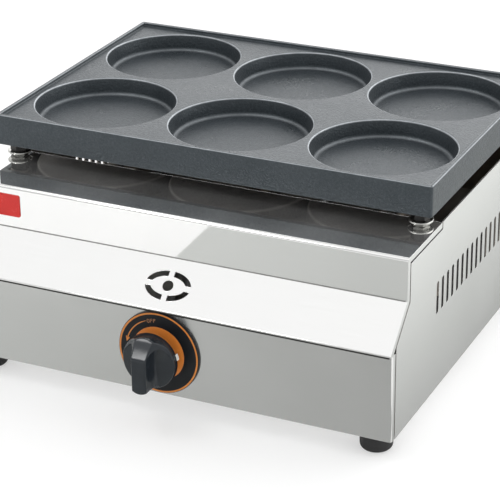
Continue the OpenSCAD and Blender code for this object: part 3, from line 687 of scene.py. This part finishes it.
# %% Plate top, rim and wells
LIP, LIP_MARGIN, LIP_STEPS = 1.5, 0.8, 6
FLOOR_CURVE, FLOOR_MARGIN, FLOOR_STEPS = 4.0, 1.0, 8
WALL_BREAK, DISC_RADIUS = 5.0, 30.0
RIM_FOOT, RIM_STEPS = 0.9, 4
FOOT_ROUND, INNER_ROUND, OUTER_ROUND, BASE_ROUND = 0.8, 0.9, 1.0, 0.7
OUTER_CORNER, INNER_CORNER, CORNER_CHANGE = 2.0, 1.0, 0.5
r_low = WELL_RADIUS - WELL_DRAFT
bm = bmesh.new()
well_loops = [(WELL_RADIUS + LIP + LIP_MARGIN, z_land)]
well_loops += [(WELL_RADIUS + LIP * (1 - math.cos(a)), z_land - LIP * (1 - math.sin(a)))
               for a in quarter(LIP_STEPS)[::-1]]
well_loops += [(WELL_RADIUS - WELL_DRAFT / 2, z_land - WALL_BREAK)]
well_loops += [(r_low - FLOOR_CURVE * (1 - math.cos(a)), z_floor + FLOOR_CURVE * (1 - math.sin(a)))
               for a in quarter(FLOOR_STEPS)]
well_loops += [(r_low - FLOOR_CURVE - FLOOR_MARGIN, z_floor), (DISC_RADIUS, z_floor)]
top_edge = celled_deck(bm, half_x, half_y, z_land, well_loops)
rim = arc_path([(0, z_land, 0), (RIM_FOOT, z_land, FOOT_ROUND), (RIM_FOOT, z_rim, INNER_ROUND),
                (RIM_WIDTH, z_rim, OUTER_ROUND), (RIM_WIDTH, z_base, BASE_ROUND),
                (RIM_WIDTH - WALL, z_base, BASE_ROUND), (RIM_WIDTH - WALL, z_roof, 0)], RIM_STEPS)
skin = [top_edge]
for out, z in rim[1:-1]:
    corner = OUTER_CORNER if out > CORNER_CHANGE else INNER_CORNER
    skin.append(offset_loop(bm, top_edge, out, z, corner))
for first, second in zip(skin, skin[1:]):
    bridge(bm, first, second)
under_from = len(bm.faces)
print("Faces of the coated side:", under_from)

# %% Plate underside
STUD_RADIUS = 4.0
CUP_RADIUS, CUP_FLOOR = 60.6, WALL - 1.0
BOSS_TIP, BOSS_ROOT, BOSS_RECESS, BOSS_GAP, BOSS_ROUND = 8.6, 9.0, 0.4, 0.2, 0.8
cup_low = z_floor - CUP_FLOOR
cup_loops = [(CUP_RADIUS + 0.9, z_roof), (CUP_RADIUS, z_roof - 1.2),
             (CUP_RADIUS - 0.6, cup_low + 2.5), (CUP_RADIUS - 1.4, cup_low + 0.9),
             (CUP_RADIUS - 3.0, cup_low), (DISC_RADIUS, cup_low)]
under = celled_deck(bm, half_x + RIM_WIDTH - WALL, half_y + RIM_WIDTH - WALL, z_roof, cup_loops)
bridge(bm, skin[-1], under)
stud_low, stud_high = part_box("plate_studs")
stud_x = stud_high.x / MM - STUD_RADIUS
stud_points = [(side * stud_x, y) for side in (-1, 1)
               for y in (stud_low.y / MM + STUD_RADIUS, stud_high.y / MM - STUD_RADIUS)]
boss_low, boss_high = z_base + BOSS_RECESS, z_roof - BOSS_GAP
boss_outline = arc_path([(0, boss_low, 0), (BOSS_TIP, boss_low, BOSS_ROUND),
                         (BOSS_ROOT, boss_high, 0), (0, boss_high, 0)])
for x, y in stud_points:
    upright(bm, boss_outline, x, y, segments=40, closed=False)
plate = finish_piece("cast_plate", bm, "plate", coat_finish, ["mould_plate"])
plate.data.materials.append(bare_casting)
for face in plate.data.polygons:
    face.material_index = int(face.index >= under_from)

# %% [markdown]
# ## Wear and painted highlights on the plate
# Scrapers and cloths rub the coat thin where the casting stands proud, and the same mask also paints pale
# highlight lines along these edges. A mask worked out in the shader would find every edge alike, so this one is
# written into the mesh instead, point by point: strong on the well lips, less on the rim, faint along the curve at
# the floor, and bright round the cups below, where it is painted highlight only.

# %% Worn edges and painted highlights
# Amounts of rubbing and painted highlight; round the cups it is painted highlight only.
RIM_RUB_AND_SHINE, INNER_RIM_SHARE, LIP_RUB_AND_SHINE, CUP_SHINE, FLOOR_RUB_AND_SHINE = 0.6, 0.7, 0.85, 0.8, 0.22
RIM_SPREAD, RIM_DROP, LIP_SPREAD, CUP_SPREAD, FLOOR_SPREAD, FLOOR_RISE = 0.7, 0.65, 0.62, 1.2, 2.4, 1.4
SHOWN_RUB_AND_SHINE = 0.05


def near(value, target, width):
    return max(0.0, 1.0 - abs(value - target) / width)


def rub_and_shine_at(point):
    """How much the casting is rubbed and painted with highlight at a point; small offsets in mm set each line
    beside its edge.
    """
    x, y, z = point.x / MM, point.y / MM, point.z / MM
    radius = min(math.hypot(x - wx, y - wy) for wx, wy in well_xy)
    out = max(abs(x) - half_x, abs(y - mid_y) - half_y)
    if z > z_rim - 1.2 and out > 0.2:
        edge = max(near(out, RIM_WIDTH - 0.3, RIM_SPREAD),
                   INNER_RIM_SHARE * near(out, RIM_FOOT + 0.25, RIM_SPREAD))
        return RIM_RUB_AND_SHINE * edge * near(z, z_rim - 0.3, RIM_DROP)
    if z > z_land - LIP - 0.1 and radius < WELL_RADIUS + LIP + 0.2:
        return LIP_RUB_AND_SHINE * near(radius, WELL_RADIUS + 0.6, LIP_SPREAD)
    if z < cup_low + 1.4 and radius < CUP_RADIUS:
        return CUP_SHINE * near(radius, CUP_RADIUS - 1.6, CUP_SPREAD)
    return FLOOR_RUB_AND_SHINE * near(z, z_floor + 1.1, FLOOR_RISE) * near(radius, r_low - 1.2, FLOOR_SPREAD)


wear = plate.data.attributes.new("wear", "FLOAT", "POINT")
wear.data.foreach_set("value", [rub_and_shine_at(v.co) for v in plate.data.vertices])
print("Worn points:", sum(1 for v in wear.data if v.value > SHOWN_RUB_AND_SHINE))

# %% [markdown]
# ## Studs, nuts and washers
# Each corner of the plate stands on a threaded stud with a levelling nut on the ledge, a washer,
# and a jam nut under the plate. A thread this small can be rings instead of a helix: a zigzag
# outline turned round the stud looks the same. A real nut has its corners chamfered by a cone, so
# the height of its top edge falls with the distance from the axis.

# %% Studs
THREAD_PITCH, THREAD_DEPTH, THREAD_START = 1.25, 0.62, 1.2
POINT_RADIUS, POINT_EDGE, POINT_RISE, TIP_INSET = 2.9, 3.6, 0.9, 0.3
stud_foot, stud_tip = stud_low.z / MM, stud_high.z / MM
stud_outline = [(0, stud_foot), (POINT_RADIUS, stud_foot), (POINT_EDGE, stud_foot + POINT_RISE)]
z = stud_foot + THREAD_START
while z < stud_tip - THREAD_PITCH:
    stud_outline += [(STUD_RADIUS, z), (STUD_RADIUS - THREAD_DEPTH, z + THREAD_PITCH / 2)]
    z += THREAD_PITCH
stud_outline += [(STUD_RADIUS - TIP_INSET, stud_tip), (0, stud_tip)]
bm = bmesh.new()
for x, y in stud_points:
    upright(bm, stud_outline, x, y, segments=28, closed=False)
finish_piece("threaded_studs", bm, "plate", zinc_plate, ["plate_studs"], sharp=20.0)

# %% Nuts
NUT_FLATS, NUT_STEPS, NUT_TURN = 13.0, 36, 17
NUT_BORE, BORE_CHAMFER = STUD_RADIUS + 0.05, 0.5
SEAT_SHARE, CHAMFER_SLOPE = 0.97, math.tan(math.radians(30))
NUT_SEAT = NUT_FLATS / 2 * SEAT_SHARE


def hex_nut(bm, origin, across, height):
    """Nut with both ends chamfered by a cone; the middle of its lower end is at origin."""
    third = UP.cross(across)

    def ring(radius_of, height_of):
        loop = []
        for a in around(NUT_STEPS):
            radius = radius_of(a)
            spoke = across * math.cos(a) + third * math.sin(a)
            loop.append(bm.verts.new(origin + (UP * height_of(radius) + spoke * radius) * MM))
        return loop

    def round_ring(radius, level):
        return ring(lambda a: radius, lambda r: level)

    def hexagon(a):
        return NUT_FLATS / 2 / math.cos((a + math.pi / 6) % (math.pi / 3) - math.pi / 6)

    def drop(r):
        return (r - NUT_SEAT) * CHAMFER_SLOPE

    loops = [round_ring(NUT_BORE + BORE_CHAMFER, 0.0), round_ring(NUT_SEAT, 0.0),
             ring(hexagon, drop), ring(hexagon, lambda r: height - drop(r)),
             round_ring(NUT_SEAT, height), round_ring(NUT_BORE + BORE_CHAMFER, height),
             round_ring(NUT_BORE, height - BORE_CHAMFER), round_ring(NUT_BORE, BORE_CHAMFER)]
    for first, second in zip(loops, loops[1:] + loops[:1]):
        bridge(bm, first, second)


# The jam nuts take a black finish that paints the shade under the plate.
for name, node, finish, first_turn in (("jam_nut_set", "jam_nuts", black_oxide, 9),
                                       ("levelling_nut_set", "levelling_nuts", nut_plate, 0)):
    low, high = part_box(node)
    bm = bmesh.new()
    for i, (x, y) in enumerate(stud_points):
        turn = math.radians(NUT_TURN * i + first_turn)
        hex_nut(bm, Vector((x * MM, y * MM, low.z)), Vector((math.cos(turn), math.sin(turn), 0)),
                (high.z - low.z) / MM)
    finish_piece(name, bm, "plate", finish, [node], sharp=25.0)

# %% Washers
WASHER_RADIUS, WASHER_BORE, WASHER_EDGE = 10.0, 4.3, 0.5
low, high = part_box("stud_washers")
seat, face = low.z / MM, high.z / MM
washer_outline = arc_path([(WASHER_BORE, seat, 0), (WASHER_RADIUS, seat, WASHER_EDGE),
                           (WASHER_RADIUS, face, WASHER_EDGE), (WASHER_BORE, face, 0)], steps=3)
bm = bmesh.new()
for x, y in stud_points:
    upright(bm, washer_outline, x, y, segments=56)
finish_piece("round_washers", bm, "plate", zinc_plate, ["stud_washers"])

# %% [markdown]
# ## The knob
# The knob is one moulding. Its round body rises at the top like a roof, with a flat for the thumb
# in the middle and a shoulder on each side, to a bar that runs down to the lower edge. Beside the
# bar are two scoops for the fingers, each under an arch, and a small pointer stands out at the
# side. A union of solids has hard seams where a moulding has soft ones, so the body and the block
# on it are made apart, merged by a voxel remesh, and relaxed a little, which rounds every seam.

# %% Knob sizes
turn_joint = next(j for j in frame["joints"] if j["name"] == "knob_turn")
axis_x, axis_z = turn_joint["pos_m"][0], turn_joint["pos_m"][2]
knob_low, knob_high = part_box("control_knob")
knob_origin = Vector((axis_x, knob_high.y, axis_z))
# All in mm: across and up from the knob's axis, and forward from its back.
SIDE_ROOM, TOP_ROOM, BACK = 1.1, 0.1, 0.8
KNOB_RADIUS = (knob_high.x - knob_low.x) / 2 / MM - SIDE_ROOM
TOP = (knob_high.y - knob_low.y) / MM - TOP_ROOM
BAR, BAR_TOP, BAR_MIDDLE, BAR_END, BAR_BOW = 6.3, 9.3, -8.0, -18.3, 2.0
BAR_FOOT, FOOT_POWER, BAR_STEPS = 3.4, 4, 12
SCOOP_LEVEL, HUB, HUB_RISE, HUB_CROWN = 7.3, 8, 2.8, 3.0
ARCH_X, ARCH_Z, ARCH_DROP, ARCH_RUN, ARCH_POWER, ARCH_STEPS = 11.5, 15.8, 11.4, 11, 1.42, 11
ROOF, ROOF_CURVE, ROOF_STEPS = 13.4, 1.25, 16
SHOULDER_X, SHOULDER_Z, HALVINGS = 1.28, 0.785, 30
CROWN_ROUND, CROWN_INSET, CROWN_REACH = 1.2, 0.9, 14
print("Knob body in mm:", round(KNOB_RADIUS, 1), "radius,", round(TOP, 1), "long")

# %% Knob outline
def arch(x):
    """Upper edge of a scoop: steep beside the bar, long towards the side of the body."""
    if x < ARCH_X:
        return BAR_TOP + (ARCH_Z - BAR_TOP) * math.sqrt(1 - ((ARCH_X - x) / (ARCH_X - BAR)) ** 2)
    return ARCH_Z - ARCH_DROP * ((x - ARCH_X) / ARCH_RUN) ** ARCH_POWER


def arch_end(side, room):
    """How far out the arch runs before it meets the shoulder or the round of the body."""
    low, high = side, KNOB_RADIUS
    for _ in range(HALVINGS):
        x = (low + high) / 2
        shoulder = SHOULDER_X * (x - BAR) + SHOULDER_Z * (arch(x) - BAR_TOP)
        fits = shoulder <= room and math.hypot(x, arch(x)) <= KNOB_RADIUS
        low, high = (x, high) if fits else (low, x)
    return low


def block_ring(h):
    """Outline of the bar and the roof at one height, in mm about the knob axis."""
    room = TOP - h
    side = BAR + BAR_FOOT * min(1.0, room / (TOP - SCOOP_LEVEL)) ** FOOT_POWER
    flat = BAR_TOP + (KNOB_RADIUS - BAR_TOP) * (1 - max(0.0, 1 - room / ROOF) ** ROOF_CURVE)
    end = arch_end(side, room)
    bottom = [(side * t, BAR_END - BAR_BOW * (1 - t ** 2))
              for t in (2 * k / BAR_STEPS - 1 for k in range(BAR_STEPS + 1))]
    half = [(side, BAR_MIDDLE), (side, 0.0)]
    half += [(x, arch(x)) for x in (side + (end - side) * k / ARCH_STEPS for k in range(ARCH_STEPS + 1))]
    first = math.atan2(half[-1][1], half[-1][0])
    for k in range(1, ROOF_STEPS + 1):
        a = first + (math.pi / 2 - first) * k / ROOF_STEPS
        shoulder = ((room + SHOULDER_X * BAR + SHOULDER_Z * BAR_TOP)
                    / (SHOULDER_X * math.cos(a) + SHOULDER_Z * math.sin(a)))
        reach = min(KNOB_RADIUS, flat / math.sin(a), shoulder)
        half.append((reach * math.cos(a), reach * math.sin(a)))
    ring = bottom + half + [(-x, z) for x, z in half[-2::-1]]
    crown = min(1.0, max(0.0, (h - (TOP - CROWN_ROUND)) / CROWN_ROUND))
    inset = CROWN_INSET * (1 - math.sqrt(1 - crown ** 2))
    middle = (BAR_TOP + BAR_END) / 2
    return [(x * (1 - inset / BAR), middle + (z - middle) * (1 - inset / CROWN_REACH)) for x, z in ring]


print("Points in a ring of the block:", len(block_ring(TOP)))

# %% Knob
BLOCK_FROM, BLOCK_STEPS = 3.0, 30
POINTER_START, POINTER_STEP, POINTER_RINGS = 11, 2, 7
POINTER = [math.radians(POINTER_START + POINTER_STEP * k) for k in range(POINTER_RINGS)]
POINTER_OUTLINE = [(KNOB_RADIUS - 1.5, BACK), (KNOB_RADIUS + 1.6, BACK),
                   (KNOB_RADIUS + 1.4, 4.0), (KNOB_RADIUS - 1.5, 4.6)]
VOXEL, RELAX_STEPS = 0.36 * MM, 3


def knob_vert(bm, x, z, h):
    return bm.verts.new(knob_origin + (RIGHT * x + UP * z + FORWARD * h) * MM)


def pointer_sweep(bm, outline):
    """Sweep (radius, height) points through the pointer's angles."""
    loft(bm, [[knob_vert(bm, radius * math.cos(a), radius * math.sin(a), h) for radius, h in outline]
              for a in POINTER])


def merged(name, bm, voxel, relax_steps):
    """Merge closed shells into one skin and relax it."""
    mesh = bpy.data.meshes.new(name)
    bmesh.ops.recalc_face_normals(bm, faces=bm.faces)
    bm.to_mesh(mesh)
    bm.free()
    rough = bpy.data.objects.new(name, mesh)
    bpy.context.scene.collection.objects.link(rough)
    remesh = rough.modifiers.new("merge", "REMESH")
    remesh.mode, remesh.voxel_size = "VOXEL", voxel
    relax = rough.modifiers.new("relax", "SMOOTH")
    relax.factor, relax.iterations = 0.5, relax_steps
    bpy.context.view_layer.update()
    result = bmesh.new()
    result.from_object(rough, bpy.context.evaluated_depsgraph_get())
    bpy.data.objects.remove(rough)
    return result


bm = bmesh.new()
knob_base = arc_path([(0, BACK, 0), (KNOB_RADIUS, BACK, 0.6), (KNOB_RADIUS, SCOOP_LEVEL, 0.9),
                      (HUB, SCOOP_LEVEL + HUB_RISE, 0), (0, SCOOP_LEVEL + HUB_CROWN, 0)], steps=6)
turned(bm, knob_base, knob_origin, FORWARD, RIGHT, segments=120, closed=False)
pointer_sweep(bm, POINTER_OUTLINE)
heights = [BLOCK_FROM + (TOP - BLOCK_FROM) * math.sin(a) for a in quarter(BLOCK_STEPS)]
loft(bm, [[knob_vert(bm, x, z, h) for x, z in block_ring(h)] for h in heights])
knob_mesh = merged("knob_blank", bm, VOXEL, RELAX_STEPS)
finish_piece("grip_knob", knob_mesh, "knob", knob_plastic, ["control_knob"], sharp=60.0)

# %% [markdown]
# ## Marks on the knob and the disc
# Behind the knob is a flat black disc with an orange edge. A wide orange ring is printed round the stem in a
# brighter orange, which paints light where the knob shades it. The off place is marked at the top, and a thin
# arrow runs to the left from it, the way the knob opens. Print has almost no thickness, so each mark is a very
# thin solid laid on the face: it keeps a clean edge from any distance, which a picture would not.

# %% Ring print
disc_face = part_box("knob_bezel")[0].y
PRINT, RING_INNER, RING_OUTER = 0.12, 13.2, 22.4
bm = bmesh.new()
turned(bm, [(RING_INNER, 0.0), (RING_INNER, PRINT), (RING_OUTER, PRINT), (RING_OUTER, 0.0)],
       (axis_x, disc_face, axis_z), FORWARD, RIGHT, segments=96)
finish_piece("orange_ring_print", bm, "body", ring_print)

# %% Arrow print
ARROW_RADIUS, ARROW_START, ARROW_SWEEP, ARROW_STEPS = 28.0, 111, 52, 30
ARROW_THIN, ARROW_GAIN, ARROW_TAPER = 0.35, 0.55, 8
HEAD_HALF, HEAD_START, HEAD_END = 1.9, 161, 170


def slab(bm, outline):
    """A flat mark of (x, z) points in mm about the knob axis, laid on the disc's face."""
    loft(bm, [[bm.verts.new((axis_x + x * MM, disc_face - lift * MM, axis_z + z * MM)) for x, z in outline]
              for lift in (0.0, PRINT)])


def strip(bm, spine, widths):
    """A ribbon of the given widths along a spine of points."""
    left, right = [], []
    for i, (point, width) in enumerate(zip(spine, widths)):
        ahead = Vector(spine[min(i + 1, len(spine) - 1)]) - Vector(spine[max(i - 1, 0)])
        ahead.normalize()
        side = Vector((-ahead.y, ahead.x)) * width / 2
        left.append(Vector(point) + side)
        right.append(Vector(point) - side)
    slab(bm, left + right[::-1])


def on_ring(radius, degrees):
    return (radius * math.cos(math.radians(degrees)), radius * math.sin(math.radians(degrees)))


bm = bmesh.new()
steps = range(ARROW_STEPS + 1)
strip(bm, [on_ring(ARROW_RADIUS, ARROW_START + ARROW_SWEEP * k / ARROW_STEPS) for k in steps],
      [ARROW_THIN + ARROW_GAIN * min(1.0, k / ARROW_TAPER) for k in steps])
slab(bm, [on_ring(ARROW_RADIUS - HEAD_HALF, HEAD_START), on_ring(ARROW_RADIUS, HEAD_END),
          on_ring(ARROW_RADIUS + HEAD_HALF, HEAD_START)])
finish_piece("turn_arrow_print", bm, "body", orange_print)

# %% Off mark
LETTER_HIGH, LETTER_WIDE, STROKE = 3.0, 1.9, 0.5
LETTER_RADIUS, ROUND_STEPS = 27.6, 24


def letter_strokes(kind):
    w, h = LETTER_WIDE / 2, LETTER_HIGH / 2
    if kind == "O":
        turn = around(ROUND_STEPS)
        return [[(w * math.cos(a), h * math.sin(a)) for a in turn + [2 * math.pi]]]
    bar = h - STROKE / 2
    return [[(-w, -h), (-w, h)], [(-w - STROKE / 2, bar), (w, bar)], [(-w, 0.1), (w * 0.7, 0.1)]]


bm = bmesh.new()
for kind, degrees in (("O", 107.0), ("F", 101.0), ("F", 95.4)):
    centre, lean = Vector(on_ring(LETTER_RADIUS, degrees)), math.radians(degrees - 90)
    for stroke in letter_strokes(kind):
        spine = [tuple(centre + Matrix.Rotation(lean, 2) @ Vector(p)) for p in stroke]
        strip(bm, spine, [STROKE] * len(spine))
finish_piece("off_mark_print", bm, "body", mark_print)

# %% Pointer mark
MARK_OUT, MARK_FORWARD = 0.3, 0.05
mark_path = [(KNOB_RADIUS + 1.5, BACK + 0.2), (KNOB_RADIUS + 1.4, 2.4), (KNOB_RADIUS + 1.2, 3.9)]
bm = bmesh.new()
pointer_sweep(bm, mark_path + [(radius + MARK_OUT, h + MARK_FORWARD) for radius, h in mark_path[::-1]])
finish_piece("knob_pointer_mark", bm, "knob", white_print)

# %% [markdown]
# ## Sheet edges
# Two thin lines run along the whole front. The lower edge of the slope is the raw edge of the sheet, cut by shears
# and left dark, and its bead also paints the shadow in the gap under the lip. A dull grey line lies in the inner
# bend above the slope. Each is a fine round bead laid along the front cover, its place found from the cover's own
# mesh: the lowest front point, and the lowest point of the flat band.

# %% Edge lines
cover_points = [v.co for v in nodes["front_cover"].data.vertices]
lip_y = min(p.y for p in cover_points)
lip_z = min(p.z for p in cover_points if p.y < lip_y + 1.0 * MM)
band_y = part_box("badge_plate")[1].y
fold_z = min(p.z for p in cover_points if abs(p.y - band_y) < 0.02 * MM and p.z > lip_z + 10 * MM)
BEAD_INSET, BEAD_TAPER, BEAD_TIP, BEAD_STEPS = 1.2 * MM, 0.6 * MM, 0.3, 16
bead_half = max(p.x for p in cover_points) - BEAD_INSET


def bead(name, y, z, radius, material, squash):
    """A fine round line along the front with tapered ends; squash scales its height."""
    bm = bmesh.new()
    loops = []
    for x, grow in ((-bead_half, BEAD_TIP), (-bead_half + BEAD_TAPER, 1.0),
                    (bead_half - BEAD_TAPER, 1.0), (bead_half, BEAD_TIP)):
        wide, high = radius * grow, radius * grow * squash
        loops.append([bm.verts.new((x, y + wide * math.cos(a), z + high * math.sin(a)))
                      for a in around(BEAD_STEPS)])
    loft(bm, loops)
    finish_piece(name, bm, "body", material)


raw_edge_and_shadow = small_metal("sheared_edge", (0.020, 0.019, 0.018), (0.045, 0.042, 0.039), 0.50, 0.20, 120.0)
dull_bend = small_metal("dull_bend", (0.26, 0.26, 0.25), (0.36, 0.36, 0.35), 0.45, 0.20, 120.0)
# The lip bead is partly the dark raw edge and partly painted shadow under the lip.
bead("lip_edge_line", lip_y + 0.9 * MM, lip_z - 0.2 * MM, 0.8 * MM, raw_edge_and_shadow, 1.0)
bead("fold_line", band_y - 0.1 * MM, fold_z - 0.4 * MM, 0.4 * MM, dull_bend, 1.4)
print("Lip at", round(lip_z / MM, 2), "fold at", round(fold_z / MM, 2))

# %% [markdown]
# ## Badge and feet
# The badge is a bare red plate with softened edges at the left of the upper band. The feet are
# round rubber mouldings with a rolled bottom edge, a collar at the top and a hollow for the screw.
# Both have soft edges, which a plain box or cylinder lacks, so the badge is lofted from rounded
# loops and the feet are turned from an outline with rounded corners.

# %% Badge
BADGE_CORNER, CORNER_STEPS = 2.0, 6
BADGE_PROFILE = ((0.0, 0.0), (0.0, 0.45), (0.12, 0.68), (0.4, 0.8), (1.1, 0.8), (1.3, 0.66), (1.6, 0.66))
badge_low, badge_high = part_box("badge_plate")
badge_mid = (badge_low + badge_high) / 2
flat_x = (badge_high.x - badge_low.x) / 2 / MM - BADGE_CORNER
flat_z = (badge_high.z - badge_low.z) / 2 / MM - BADGE_CORNER


def badge_loop(bm, inset, lift):
    ring = []
    radius = BADGE_CORNER - inset
    for i, (sx, sz) in enumerate(((1, 1), (-1, 1), (-1, -1), (1, -1))):
        for a in (math.pi / 2 * i + turn for turn in quarter(CORNER_STEPS)):
            x, z = sx * flat_x + radius * math.cos(a), sz * flat_z + radius * math.sin(a)
            ring.append(bm.verts.new((badge_mid.x + x * MM, badge_high.y - lift * MM, badge_mid.z + z * MM)))
    return ring


bm = bmesh.new()
loft(bm, [badge_loop(bm, inset, lift) for inset, lift in BADGE_PROFILE])
finish_piece("bare_badge", bm, "body", badge_enamel, ["badge_plate"])

# %% Feet
FOOT_RADIUS, HOLLOW_RADIUS, HOLLOW_DEPTH, SCREW_RADIUS = 14.0, 6.0, 7.0, 2.75
COLLAR_LOW, COLLAR_FULL, FOOT_TUCK, FOOT_WAIST, FOOT_ROLL = 3.2, 2.6, 1.2, 0.7, 4.6
foot_low, foot_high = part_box("feet")
foot_top = foot_high.z / MM
foot_outline = arc_path([(HOLLOW_RADIUS, HOLLOW_DEPTH, 0.6), (HOLLOW_RADIUS, 0.0, 0.8),
                         (FOOT_RADIUS - FOOT_TUCK, 0.0, FOOT_ROLL),
                         (FOOT_RADIUS - FOOT_WAIST, foot_top - COLLAR_LOW, 0.5),
                         (FOOT_RADIUS, foot_top - COLLAR_FULL, 0.5), (FOOT_RADIUS, foot_top, 0.3),
                         (SCREW_RADIUS, foot_top, 0), (SCREW_RADIUS, HOLLOW_DEPTH, 0)])
bm = bmesh.new()
for x in (foot_low.x / MM + FOOT_RADIUS, foot_high.x / MM - FOOT_RADIUS):
    for y in (foot_low.y / MM + FOOT_RADIUS, foot_high.y / MM - FOOT_RADIUS):
        upright(bm, foot_outline, x, y, segments=56)
finish_piece("rubber_feet", bm, "body", foot_rubber, ["feet"])
